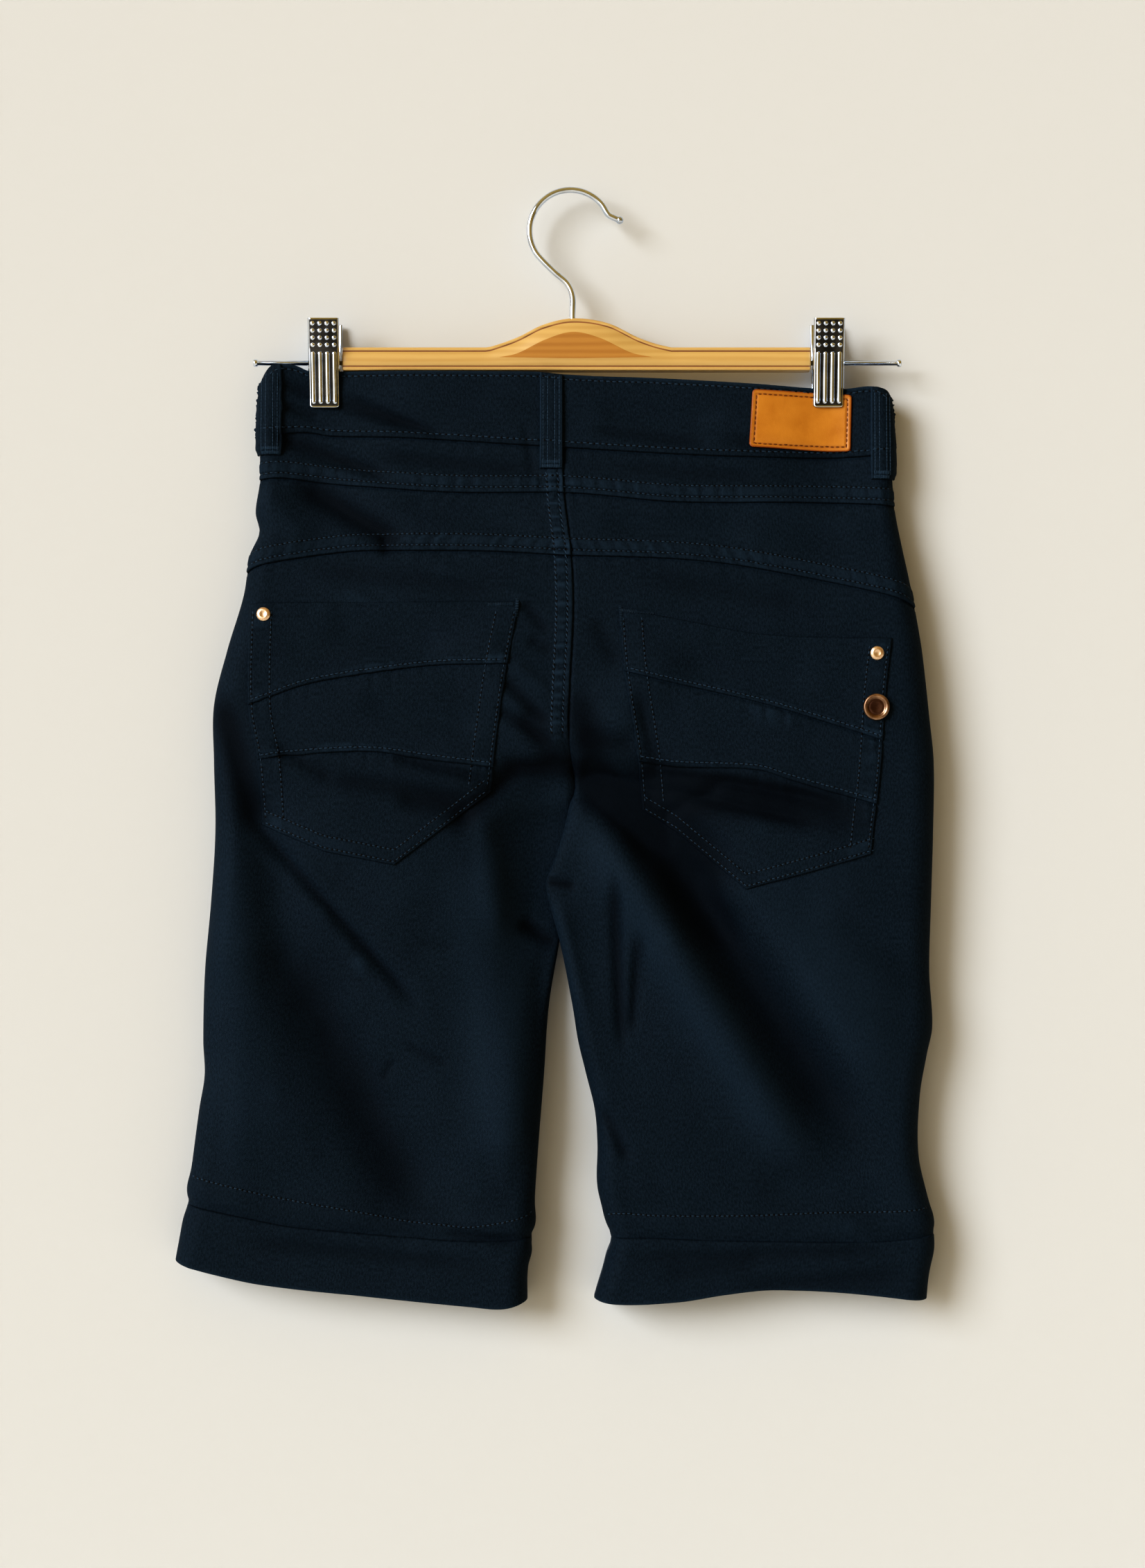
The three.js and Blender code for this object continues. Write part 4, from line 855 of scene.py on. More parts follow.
def makeCloth():
    material, tree, surface, detail, place = startMaterial("navyTwill", twillGroup, "UV")
    dyes = [(0.38, clothLook["deep"]), (0.62, clothLook["mid"])]
    base = rampColours(tree, detail.outputs["Mottle"], dyes)
    rub = mathNode(tree, "MULTIPLY", attributeNode(tree, "wearAndPaintedShade"), 0.6, True)
    # Painted shade: a per-point value below 0 darkens the cloth toward the shade colour in the creases
    shade = mathNode(tree, "MULTIPLY", attributeNode(tree, "wearAndPaintedShade"), -1.0, True)
    rubbed = mixColours(tree, rub, base, clothLook["worn"])
    tree.links.new(mixColours(tree, shade, rubbed, clothLook["shade"]), surface.inputs["Base Color"])
    surface.inputs["Roughness"].default_value = clothLook["roughness"]
    surface.inputs["Specular IOR Level"].default_value = clothLook["specular"]
    surface.inputs["Sheen Weight"].default_value = clothLook["sheen"]
    surface.inputs["Sheen Roughness"].default_value = clothLook["sheenRoughness"]
    surface.inputs["Sheen Tint"].default_value = (*clothLook["sheenTint"], 1)
    addBump(tree, surface, detail.outputs["Height"], clothLook["bump"], clothLook["relief"])
    return material


threadTwist = 0.55
threadLooks = {
    "navyThread": {"dark": (0.012, 0.027, 0.046), "light": (0.027, 0.054, 0.088)},
    "navyTackThread": {"dark": (0.008, 0.018, 0.03), "light": (0.014, 0.03, 0.05)},
    "needleShade": {"dark": (0.0004, 0.001, 0.0018), "light": (0.0008, 0.002, 0.0035)},
    "tanThread": {"dark": (0.07, 0.02, 0.004), "light": (0.17, 0.056, 0.01)},
}


def makeThread(name):
    material, tree, surface, detail, place = startMaterial(name, twillGroup, "Object")
    dyes = [(0.3, threadLooks[name]["dark"]), (0.7, threadLooks[name]["light"])]
    tree.links.new(rampColours(tree, detail.outputs["Mottle"], dyes), surface.inputs["Base Color"])
    surface.inputs["Roughness"].default_value = 0.5
    surface.inputs["Specular IOR Level"].default_value = 0.12
    surface.inputs["Sheen Weight"].default_value = 0.02
    strand = waveNode(tree, turned(tree, place.outputs["Object"], 40), threadTwist, 0.5)
    addBump(tree, surface, strand, 0.5, 0.0001)
    return material


leatherLook = {
    "light": (0.44, 0.19, 0.026), "dark": (0.37, 0.147, 0.016), "burnt": (0.2, 0.05, 0.008),
    "roughness": 0.42, "bump": 0.35, "relief": 0.00012,
}


def makeLeather():
    material, tree, surface, detail, place = startMaterial("tanLeather", grainGroup, "UV")
    tones = [(0.3, leatherLook["dark"]), (0.7, leatherLook["light"])]
    base = rampColours(tree, detail.outputs["Mottle"], tones)
    colour = mixColours(tree, attributeNode(tree, "wearAndPaintedShade"), base, leatherLook["burnt"])
    tree.links.new(colour, surface.inputs["Base Color"])
    surface.inputs["Roughness"].default_value = leatherLook["roughness"]
    surface.inputs["Specular IOR Level"].default_value = 0.25
    surface.inputs["Coat Weight"].default_value = 0.04
    addBump(tree, surface, detail.outputs["Height"], leatherLook["bump"], leatherLook["relief"])
    return material


metalLooks = {
    "paleCopper": {"dark": (0.62, 0.42, 0.28), "light": (0.86, 0.68, 0.5), "rough": 0.2, "scratch": 0.3},
    "agedCopper": {"dark": (0.16, 0.095, 0.06), "light": (0.5, 0.34, 0.23), "rough": 0.2, "scratch": 0.3},
    "shadeCopper": {"dark": (0.07, 0.035, 0.022), "light": (0.2, 0.11, 0.07), "rough": 0.3, "scratch": 0.3},
    "brightChrome": {"dark": (0.55, 0.63, 0.77), "light": (0.74, 0.81, 0.92), "rough": 0.05, "scratch": 0.1},
    # Painted shade for the clip's recess behind the dots and ribs
    "recessShadeSteel": {"dark": (0.035, 0.036, 0.038), "light": (0.09, 0.092, 0.096), "rough": 0.25,
                  "scratch": 0.2},
}


def makeMetal(name):
    look = metalLooks[name]
    material, tree, surface, detail, place = startMaterial(name, grainGroup, "Object")
    tones = [(0.35, look["dark"]), (0.65, look["light"])]
    tree.links.new(rampColours(tree, detail.outputs["Mottle"], tones), surface.inputs["Base Color"])
    surface.inputs["Metallic"].default_value = 1.0
    smear = noiseNode(tree, turned(tree, place.outputs["Object"], 0, (1, 1, 0.12)), 1200, 3.0, 0.6)
    rough = mathNode(tree, "ADD", mathNode(tree, "MULTIPLY", smear, look["scratch"]), look["rough"])
    tree.links.new(rough, surface.inputs["Roughness"])
    addBump(tree, surface, smear, 0.12, 0.00004)
    return material


woodLooks = {
    "honeyBeech": {"dark": (0.455, 0.292, 0.102), "light": (0.5, 0.335, 0.125), "roughness": 0.34},
    "amberInlay": {"dark": (0.33, 0.155, 0.032), "light": (0.38, 0.19, 0.043), "roughness": 0.36},
    "burntLine": {"dark": (0.16, 0.06, 0.02), "light": (0.26, 0.11, 0.035), "roughness": 0.5},
}


def makeWood(name):
    look = woodLooks[name]
    material, tree, surface, detail, place = startMaterial(name, boardGroup, "Object")
    tones = [(0.25, look["dark"]), (0.75, look["light"])]
    tree.links.new(rampColours(tree, detail.outputs["Mottle"], tones), surface.inputs["Base Color"])
    surface.inputs["Roughness"].default_value = look["roughness"]
    surface.inputs["Coat Weight"].default_value = 0.25
    surface.inputs["Coat Roughness"].default_value = 0.25
    addBump(tree, surface, detail.outputs["Height"], 0.15, 0.0001)
    return material


clothMaterial = makeCloth()
threadMaterial = makeThread("navyThread")
tackThreadMaterial = makeThread("navyTackThread")
tanThreadMaterial = makeThread("tanThread")
# Painted shade for the needle holes: a near-black thread colour
holeShadeMaterial = makeThread("needleShade")
leatherMaterial = makeLeather()
copperMaterial = makeMetal("paleCopper")
agedMaterial = makeMetal("agedCopper")
shadeCopper = makeMetal("shadeCopper")
chromeMaterial = makeMetal("brightChrome")
shadeMetal = makeMetal("recessShadeSteel")
woodMaterial = makeWood("honeyBeech")
inlayMaterial = makeWood("amberInlay")
burntMaterial = makeWood("burntLine")
print("materials ready")

# Back yoke and basque, and the four leg panels

tuck = 1.5
flatPitch = {"back": 2.1, "front": 3.6}
panel = {
    "length": 60.0, "legLength": 450.0, "pitch": {"back": 2.3, "front": 3.8},
    "calmStart": 4.0, "calmReach": 22.0, "calmLeast": 0.35,
    "swell": 1.3, "swellAt": 10.0, "swellReach": 8.0, "dip": 0.9, "dipAt": 1.0, "dipReach": 3.0, "faded": 0.3,
}


def seamGapAt(half, z):
    past = 2 * tuck * ease((z - cloth["crotchZ"] - 34) / 20)
    return -past if half["name"] == "right" else past * 0


def stripGrid(face, half, top, bottom, s, v, seamGap=None):
    strip = {"face": face, "half": half, "top": top, "bottom": bottom, "seam": seamGap}
    shares, levels = np.meshgrid(s, v)
    at = stripPlace(strip, shares, levels)
    run = np.cumsum(np.linalg.norm(np.diff(at, axis=1, prepend=at[:, :1]), axis=2), axis=1)
    height = top(at[..., 0]) - bottom(at[..., 0])
    return {"at": at, "normal": stripNormals(strip, shares, levels), "run": run, "s": shares,
            "fromTop": levels * height, "fromBottom": (1 - levels) * height}


# Beside the seat seam: the left half lies on top with two gathered rows, the right half runs in under it
def middleRelief(grid, half, salt):
    z = grid["at"][..., 2]
    above = ease((z - cloth["crotchZ"] - 14) / 16)
    signed = (grid["at"][..., 0] - seatX(z)) * half["out"]
    if half["name"] == "right":
        return above * tuckedRelief(signed, z, salt)
    gathered = 0.9 * unevenWave(z, 4.6, salt) * np.exp(-((signed - 6.6) / 4.2) ** 2)
    return above * (felledRelief(np.maximum(signed, 0), z, salt) + gathered)


def wearFrom(relief):
    return np.clip((relief - 0.42) * 1.1, 0, 1)


def shiftedLine(line, by):
    return lambda x: line(x) + by


def layStrip(node, face, half, top, bottom, salt, pitch, hemmed=False):
    v = spread(panel["legLength"] if hemmed else panel["length"], pitch, 5, 3 if hemmed else 14, 0.8)
    shares = acrossShares(flatPitch[face["name"]])
    grid = stripGrid(face, half, shiftedLine(top, tuck), bottom, shares, v, seamGapAt)
    x, z = grid["at"][..., 0], grid["at"][..., 2]
    loose = cloth["slackLeg"] if hemmed else cloth["slackSeat"]
    relief = loose * slack(x, z, salt) * np.sin(math.pi * np.clip(grid["s"], 0, 1))
    start, reach = panel["calmStart"], panel["calmReach"]
    calm = ease((grid["fromTop"] - start) / reach) * ease((grid["fromBottom"] - start) / reach)
    relief = relief * (panel["calmLeast"] + (1 - panel["calmLeast"]) * calm)
    if not hemmed:
        relief = relief + felledRelief(grid["fromBottom"], grid["run"], salt)
    relief = relief + tuckedRelief(grid["fromTop"] - tuck, grid["run"], salt)
    relief = relief + middleRelief(grid, half, salt + 4)
    worn = wearFrom(relief)
    if hemmed:
        above = z - half["cuff"](x)
        uneven = 1 + 0.45 * unevenWave(x, 58, salt)
        swell = panel["swell"] * np.exp(-((above - panel["swellAt"]) / panel["swellReach"]) ** 2)
        dip = panel["dip"] * np.exp(-((above - panel["dipAt"]) / panel["dipReach"]) ** 2)
        relief = relief + (swell - dip) * uneven
    outer = grid["at"] + grid["normal"] * (cloth["wall"] / 2 + relief)[..., None]
    # Lighter on the fold ridges: partly fading, partly a painted highlight where the ridges catch the light
    faded = panel["faded"] * np.clip(foldHeight(face, half, x, z) / 6, 0, 1)
    layCloth(node, outer, grid["normal"], cloth["wall"], face["name"], worn + faded)


def hemLine(face, half):
    if face["name"] == "front" or half["name"] == "left":
        return half["hem"]

    def liftedHem(x):
        away = (x - cloth["hemLiftX"]) / cloth["hemLiftReach"]
        return half["hem"](x) + cloth["hemLift"] * np.exp(-away ** 4)

    return liftedHem


for half in halves.values():
    layStrip("back_basque_" + half["name"], faces["back"], half, bandSeam, basqueSeam, 1.7, 1.6)
    layStrip("back_yoke_" + half["name"], faces["back"], half, basqueSeam, yokeSeam, 2.9, 1.8)
    for face in faces.values():
        node = "{}_leg_{}".format(face["name"], half["name"])
        top = yokeSeam if face["name"] == "back" else bandSeam
        layStrip(node, face, half, top, hemLine(face, half), 4.1, panel["pitch"][face["name"]], hemmed=True)
print("panels ready")

# Turn-ups: a doubled band on each leg's lower end, with a soft rolled edge

cuff = {"over": 0.75, "wall": 1.7, "lip": 0.9, "round": 0.9, "pitch": 1.6, "length": 44.0, "past": 0.4}


def layCuff(face, half):
    v = spread(cuff["length"], cuff["pitch"], 4, 4, 0.5)
    shares = acrossShares(flatPitch[face["name"]])
    grid = stripGrid(face, half, half["cuff"], shiftedLine(hemLine(face, half), -cuff["past"]), shares, v)
    lifted = 0.6 + 0.5 * unevenWave(grid["run"], 62, 3) + 0.25 * unevenWave(grid["run"], 23, 5)
    relief = -cuff["lip"] * np.exp(-(grid["fromTop"] / 6) ** 2) * lifted
    relief = relief + 0.6 * slack(grid["at"][..., 0], grid["at"][..., 2], 9.1)
    relief = relief + edgeRound(grid["fromTop"], 1.5) + edgeRound(grid["fromBottom"], cuff["round"])
    atFold = 1 - ease(grid["s"] / 0.14) * ease((1 - grid["s"]) / 0.14)
    relief = relief - (1.7 - 0.9 * ease(grid["fromTop"] / 14)) * atFold
    outer = grid["at"] + grid["normal"] * (cuff["over"] + cuff["wall"] + relief)[..., None]
    node = "cuff_{}_{}".format(face["name"], half["name"])
    worn = 0.5 * np.exp(-(grid["fromBottom"] / 1.5) ** 2)
    layCloth(node, outer, grid["normal"], cuff["wall"], face["name"], worn)


for half in halves.values():
    for face in faces.values():
        layCuff(face, half)

# Waistband: whole at the back, in two lapped halves at the front

band = {"length": 46.0, "pitch": 1.1, "round": 1.1, "sewn": 3.2, "groove": 0.3, "pucker": 0.22,
        "lap": 16, "lapRun": 26, "inside": 2.7, "leftEnd": 1.228, "rightEnd": 0.77}


def bandRelief(grid, run, salt):
    puckers = band["pucker"] * unevenWave(run, 10, salt)
    lower = np.exp(-((grid["fromBottom"] - 2) / 4) ** 2)
    upper = np.exp(-((grid["fromTop"] - 2) / 4) ** 2)
    rows = sum(groove(grid[edge], band["sewn"], band["groove"]) for edge in ("fromTop", "fromBottom"))
    rounds = edgeRound(grid["fromTop"], band["round"]) + edgeRound(grid["fromBottom"], 0.8)
    ripple = 0.3 * slack(grid["at"][..., 0] * 1.4, grid["at"][..., 2] * 2.2, salt + 2)
    return puckers * (lower + 0.7 * upper) + rows + rounds + ripple


# Shares up to 1 lie on the left half, those from 1 to 2 on the right one
def layBand(node, face, top, shares, salt, sink=None):
    v = spread(band["length"], band["pitch"], 3, 3, 0.5)
    parts = []
    for half, chosen in (("left", shares[shares <= 1]), ("right", 2 - shares[shares > 1])):
        if len(chosen):
            parts.append(stripGrid(face, halves[half], top, bandSeam, chosen, v))
    grid = {key: np.concatenate([part[key] for part in parts], axis=1) for key in parts[0]}
    run = grid["at"][..., 0]
    relief = bandRelief(grid, run, salt)
    sunk = 0.0 if sink is None else sink(run)
    outer = grid["at"] + grid["normal"] * (cloth["bandWall"] / 2 + relief - sunk)[..., None]
    worn = np.clip(0.7 * np.exp(-(grid["fromTop"] / 1.4) ** 2) + wearFrom(relief), 0, 1)
    layCloth(node, outer, grid["normal"], cloth["bandWall"], face["name"], worn)


def waistShares(pitch):
    shares = acrossShares(pitch)
    return np.concatenate([shares, 2 - shares[:-1][::-1]])


# The right front's end goes in under the left one
def sinkUnder(x):
    return band["inside"] * ease((band["lap"] + band["lapRun"] - x) / band["lapRun"])


layBand("waistband_back", faces["back"], bandTop, waistShares(1.6), 2.3)
frontWay = waistShares(2.6)
layBand("waistband_front_left", faces["front"], frontBandTop, frontWay[frontWay <= band["leftEnd"]], 3.3)
frontRight = frontWay[frontWay >= band["rightEnd"]]
layBand("waistband_front_right", faces["front"], frontBandTop, frontRight, 3.9, sinkUnder)
print("waistband ready")

# Fly: the left front's flap with its curved end

fly = {"x": 3.0, "width": 40.0, "top": -168.0, "turn": -266.0, "bottom": -318.0, "over": 1.9, "wall": 1.1}


def layFly():
    u, w = np.meshgrid(spread(40, 1.4, 2, 2, 0.5), spread(150, 1.8, 0, 3, 0.6))
    z = fly["top"] + (fly["bottom"] - fly["top"]) * w
    fall = np.clip((fly["turn"] - z) / (fly["turn"] - fly["bottom"]), 0, 1)
    wide = fly["width"] * np.sqrt(np.maximum(1 - fall ** 2, 0.0004))
    x = fly["x"] - wide * (1 - u)
    at, normal = surfaceAt(faces["front"], x, z)
    rim = np.minimum((x - fly["x"] + wide), fly["x"] - x)
    relief = edgeRound(rim, 0.6) + 0.1 * unevenWave(z, 11, 5) * np.exp(-(rim / 6) ** 2)
    outer = at + normal * (fly["over"] + relief)[..., None]
    layCloth("fly_placket", outer, normal, fly["wall"], "front", wearFrom(relief + 0.4))


layFly()

# Belt loops: folded strips sewn over the waistband

loop = {"width": 14.5, "length": 60.0, "wall": 1.5, "over": 3.0, "rise": 1.0, "end": 0.6}
loopPlaces = [
    ("centre", "back", "left", -12.5, -176.4),
    ("left", "back", "left", -190.6, -167.5),
    ("right", "back", "right", 197.0, -183.0),
    ("front_left", "front", "left", -95.0, -174.0),
    ("front_right", "front", "right", 95.0, -180.0),
]


def layLoop(name, faceName, halfName, middle, bottom):
    face, half = faces[faceName], halves[halfName]
    topLine = bandTop if faceName == "back" else frontBandTop
    part, v = np.meshgrid(spread(loop["width"], 0.6), spread(loop["length"], 0.8, 2, 2, 0.4))
    reach = middle + (part - 0.5) * loop["width"]
    z = mix(topLine(reach) - loop["end"], bottom, v)
    edge = half["side"](z) - half["out"] * cloth["wall"] / 2
    x = np.minimum(reach, edge) if half["out"] > 0 else np.maximum(reach, edge)
    at, normal = surfaceAt(face, x, z)
    rim = np.minimum(part, 1 - part) * loop["width"]
    rise = loop["rise"] * np.sqrt(np.sin(math.pi * np.clip(v, 0, 1)) + 1e-9)
    rows = groove(rim, 2.2, 0.25, 0.7) + groove(rim, 5.0, 0.2, 0.7)
    ends = np.minimum(v, 1 - v) * loop["length"]
    relief = rise + rows + edgeRound(rim, 0.7) + edgeRound(ends, 0.6) + 0.12 * unevenWave(z, 9, middle)
    relief = relief - 0.9 * ease((5 - (1 - v) * loop["length"]) / 4) * (faceName == "back")
    outer = at + normal * (loop["over"] + relief)[..., None]
    worn = np.clip(0.8 * np.exp(-(rim / 1.0) ** 2), 0, 1)
    layCloth("belt_loop_" + name, outer, normal, loop["wall"], faceName, worn)


for entry in loopPlaces:
    layLoop(*entry)
print("fly and loops ready")

# Back pockets: three pieces each, the upper ones lapped over the lower ones

pocketLines = {
    "left": {
        "top": {"x": [-202, -190, -110, -32], "z": [-262.5, -261.4, -260.9, -260.4]},
        "upperSeam": {"x": [-203, -190, -169, -141, -85, -40],
                      "z": [-326, -321.2, -313.7, -308, -301, -300.1]},
        "lowerSeam": {"x": [-197, -179, -127, -85, -49], "z": [-360.4, -357.7, -355.1, -360.4, -364.8]},
        "bottom": {"x": [-194.5, -155, -111, -78, -51], "z": [-401.3, -417.6, -426.4, -401.3, -380.2]},
        "leftEdge": {"z": [-261, -326, -360, -401], "x": [-202, -202.8, -197, -194.5]},
        "rightEdge": {"z": [-260, -300, -340, -380], "x": [-32, -39.8, -45.8, -51]},
    },
    "right": {
        "top": {"x": [30, 66, 124, 202], "z": [-264.5, -271.5, -281.6, -283.6]},
        "upperSeam": {"x": [33, 66, 124, 175, 196], "z": [-304.7, -312.4, -326, -341.4, -348.5]},
        "lowerSeam": {"x": [42, 66, 117, 138, 193], "z": [-360.6, -364, -366.5, -372.7, -388.4]},
        "bottom": {"x": [45, 66, 110, 153, 188.3], "z": [-392.3, -404.8, -441.8, -429.9, -419.5]},
        "leftEdge": {"z": [-264, -304, -361, -392], "x": [30, 33.4, 42.2, 45]},
        "rightEdge": {"z": [-284, -317, -367, -420], "x": [201.8, 198, 194.5, 188.3]},
    },
}
pocket = {"over": 1.75, "wall": 1.0, "round": 0.6, "pitch": 1.5, "groove": 0.25, "sideRows": (2.2, 13.8),
          "lowRows": (2.2, 9.6), "seamRow": 2.8, "width": 160.0, "middleZ": -300.0}
pocketParts = [
    ("upper", "top", "upperSeam"),
    ("middle", "upperSeam", "lowerSeam"),
    ("lower", "lowerSeam", "bottom"),
]
pocketLengths = {"upper": 55.0, "middle": 55.0, "lower": 60.0}


def cornered(table):
    return lambda x: np.interp(x, table["x"], table["z"])


def pocketCurve(name, table):
    if name == "bottom":
        return cornered(table)
    if name in ("leftEdge", "rightEdge"):
        return curve(table, "z", "x")
    return curve(table, "x", "z")


pocketCurves = {
    side: {name: pocketCurve(name, table) for name, table in lines.items()}
    for side, lines in pocketLines.items()
}


def pocketRelief(part, order, side, x, z, fromSide, fromTop, fromBottom):
    relief = cloth["slackSeat"] * slack(x, z, 6.0 + order) + edgeRound(fromSide, pocket["round"])
    relief = relief + sum(groove(fromSide, deep, pocket["groove"]) for deep in pocket["sideRows"])
    relief = relief + 0.35 * ease((15.5 - fromSide) / 1.5)
    beside = np.exp(-((fromSide - 5) / 6) ** 2)
    relief = relief + 0.3 * unevenWave(z, 11, order + (side == "left")) * beside
    if part == "lower":
        relief = relief + edgeRound(fromBottom, pocket["round"])
        relief = relief + sum(groove(fromBottom, deep, pocket["groove"]) for deep in pocket["lowRows"])
        relief = relief + 0.35 * ease((11 - fromBottom) / 1.5)
    else:
        pucker = 0.22 * unevenWave(x, 8, order) * np.exp(-(fromBottom / 6) ** 2)
        relief = relief + edgeRound(fromBottom, 0.8) + groove(fromBottom, pocket["seamRow"], 0.3)
        relief = relief + 0.5 * ease((7 - fromBottom) / 3) + pucker
    if part == "upper":
        opening = 0.25 * unevenWave(x, 21, 2) * np.exp(-fromTop / 8)
        return relief + edgeRound(fromTop, 0.9) + groove(fromTop, 3.0, 0.2) + opening
    return relief + tuckedRelief(fromTop, x, order + 3.1)


def layPocket(side):
    lines = pocketCurves[side]
    across = spread(pocket["width"], pocket["pitch"], 14, 14, 0.9)
    for order, (part, topName, bottomName) in enumerate(pocketParts):
        top, bottom = lines[topName], lines[bottomName]
        under = tuck if order else 0
        u, w = np.meshgrid(across, spread(pocketLengths[part], pocket["pitch"], 4, 14, 0.8))
        x = mix(lines["leftEdge"](pocket["middleZ"]), lines["rightEdge"](pocket["middleZ"]), u)
        for attempt in range(6):
            z = mix(top(x) + under, bottom(x), w)
            x = mix(lines["leftEdge"](z), lines["rightEdge"](z), u)
        at, normal = surfaceAt(faces["back"], x, z)
        fromSide = np.minimum(u, 1 - u) * (lines["rightEdge"](z) - lines["leftEdge"](z))
        relief = pocketRelief(part, order, side, x, z, fromSide, top(x) - z, z - bottom(x))
        outer = at + normal * (pocket["over"] + relief)[..., None]
        node = "pocket_{}_{}".format(side, part)
        layCloth(node, outer, normal, pocket["wall"], "back", wearFrom(relief))


for side in pocketLines:
    layPocket(side)
print("pockets ready")

# Leather patch, bare, with a burnt edge and a pressed frame

patch = {"corners": [(114.4, -125.8), (178.2, -128.9), (177.3, -165.4), (112.2, -163.2)], "round": 2.8,
         "width": 64.5, "height": 37.0, "over": 2.75, "wall": 1.3, "pitch": 0.55, "frame": 3.0}


def patchPlace(u, w):
    (ax, az), (bx, bz), (cx, cz), (dx, dz) = patch["corners"]
    topX, topZ = mix(ax, bx, u), mix(az, bz, u)
    lowX, lowZ = mix(dx, cx, u), mix(dz, cz, u)
    return mix(topX, lowX, w), mix(topZ, lowZ, w)


def layPatch():
    width, height, r = patch["width"], patch["height"], patch["round"]
    u, w = np.meshgrid(spread(width, patch["pitch"]), spread(height, patch["pitch"]))
    a, b = np.minimum(u, 1 - u) * width, np.minimum(w, 1 - w) * height
    away = np.hypot(r - a, r - b)
    corner = (a < r) & (b < r) & (away > r)
    shrink = np.where(corner, r / np.maximum(away, 1e-6), 1.0)
    a2, b2 = np.where(corner, r - (r - a) * shrink, a), np.where(corner, r - (r - b) * shrink, b)
    u = np.where(u < 0.5, a2, width - a2) / width
    w = np.where(w < 0.5, b2, height - b2) / height
    x, z = patchPlace(u, w)
    at, normal = surfaceAt(faces["back"], x, z)
    rim = np.minimum(a2, b2)
    rim = np.where((a < r) & (b < r), r - np.hypot(r - a2, r - b2), rim)
    relief = edgeRound(rim, 0.55) + groove(rim, patch["frame"], 0.4, 0.6) + 0.12 * slack(x * 3, z * 3, 1.0)
    outer = at + normal * (patch["over"] + relief)[..., None]
    burnt = np.clip(np.exp(-(rim / 1.1) ** 2) + 0.5 * np.exp(-((rim - patch["frame"]) / 0.8) ** 2), 0, 1)
    mesh = gridMesh("leather_patch", outer, normal, burnt, np.stack([x, z], -1))
    skins["back"].append(mesh)
    thicken(addObject("leatherPatch", mesh, leatherMaterial, ["leather_patch"]), patch["wall"])


layPatch()

# Sewing: each stitch is a small capsule of thread laid on the cloth's outer side


def skinTree(faceName):
    verts, polygons = [], []
    for mesh in skins[faceName]:
        base = len(verts)
        verts.extend(vert.co.copy() for vert in mesh.vertices)
        polygons.extend([index + base for index in polygon.vertices] for polygon in mesh.polygons)
    return BVHTree.FromPolygons(verts, polygons)


skinTrees = {name: skinTree(name) for name in skins}


# Where a point in front of the cloth meets its outer side
def dropOn(faceName, x, z):
    sign = faces[faceName]["sign"]
    hit = skinTrees[faceName].ray_cast(Vector((x * mm, sign * 0.1, z * mm)), Vector((0, -sign, 0)))
    if hit[0] is None:
        return None
    normal = hit[1] if hit[1].y * sign > 0 else -hit[1]
    return np.array(hit[0]) / mm, np.array(normal)


def unitStitch():
    bm = bmesh.new()
    bmesh.ops.create_uvsphere(bm, u_segments=6, v_segments=5, radius=0.5)
    mesh = bpy.data.meshes.new("unitStitch")
    bm.to_mesh(mesh)
    bm.free()
    verts = np.array([vert.co[:] for vert in mesh.vertices])
    polygons = [list(polygon.vertices) for polygon in mesh.polygons]
    bpy.data.meshes.remove(mesh)
    return verts, polygons


stitchVerts, stitchFaces = unitStitch()
plainRow = {"pitch": 3.1, "length": 2.0, "width": 0.78, "height": 0.55, "lift": 0.05}
bandRow = {"pitch": 3.9, "length": 2.7, "width": 0.85, "height": 0.6, "lift": 0.06}
seatRow = {"pitch": 3.3, "length": 2.9, "width": 0.95, "height": 0.75, "lift": 0.06, "slant": 24}
tackRow = {"pitch": 0.62, "length": 2.6, "width": 0.6, "height": 0.55, "lift": 0.12, "turn": 90}
seamStitch = {"pitch": 3.1, "length": 2.7, "width": 0.85, "height": 0.7, "lift": 0.08}
chainRow = {"pitch": 2.0, "length": 2.2, "width": 0.75, "height": 0.6, "lift": 0.05}
frameRow = {"pitch": 3.3, "length": 2.4, "width": 0.95, "height": 0.55, "lift": 0.06}
holeShape = {"length": 1.7, "width": 1.6, "height": 0.22, "lift": 0.05, "shift": 0.5}


def stitchesAlong(faceName, line, style, salt=0.0):
    line = np.array(line, float)
    steps = np.hypot(*np.diff(line, axis=0).T)
    run = np.concatenate([[0], np.cumsum(steps)])
    first = style["pitch"] * (0.6 + style.get("shift", 0))
    places = np.arange(first, run[-1] - style["pitch"] * 0.3, style["pitch"])
    made = []
    for number, place in enumerate(places):
        sway = 0.12 * math.sin(number * 2.4 + salt)
        ends = []
        for shift in (-0.35, 0.35):
            reach = place + shift * style["pitch"]
            x = float(np.interp(reach, run, line[:, 0]))
            z = float(np.interp(reach, run, line[:, 1])) + sway
            found = dropOn(faceName, x, z)
            if found is not None:
                ends.append(found)
        if len(ends) < 2 or np.linalg.norm(ends[1][0] - ends[0][0]) > 3 * style["pitch"]:
            continue
        at, normal = (ends[0][0] + ends[1][0]) / 2, unit(ends[0][1] + ends[1][1])
        along = unit(ends[1][0] - ends[0][0])
        side = unit(np.cross(normal, along))
        up = np.cross(along, side)
        if style.get("turn"):
            along, side = side, along
        slant = math.radians(style.get("slant", 0))
        leaning = along * math.cos(slant) + side * math.sin(slant)
        side = side * math.cos(slant) - along * math.sin(slant)
        axes = np.stack([side * style["width"], up * style["height"], leaning * style["length"]])
        made.append(stitchVerts @ axes + at + normal * style["lift"])
    return made


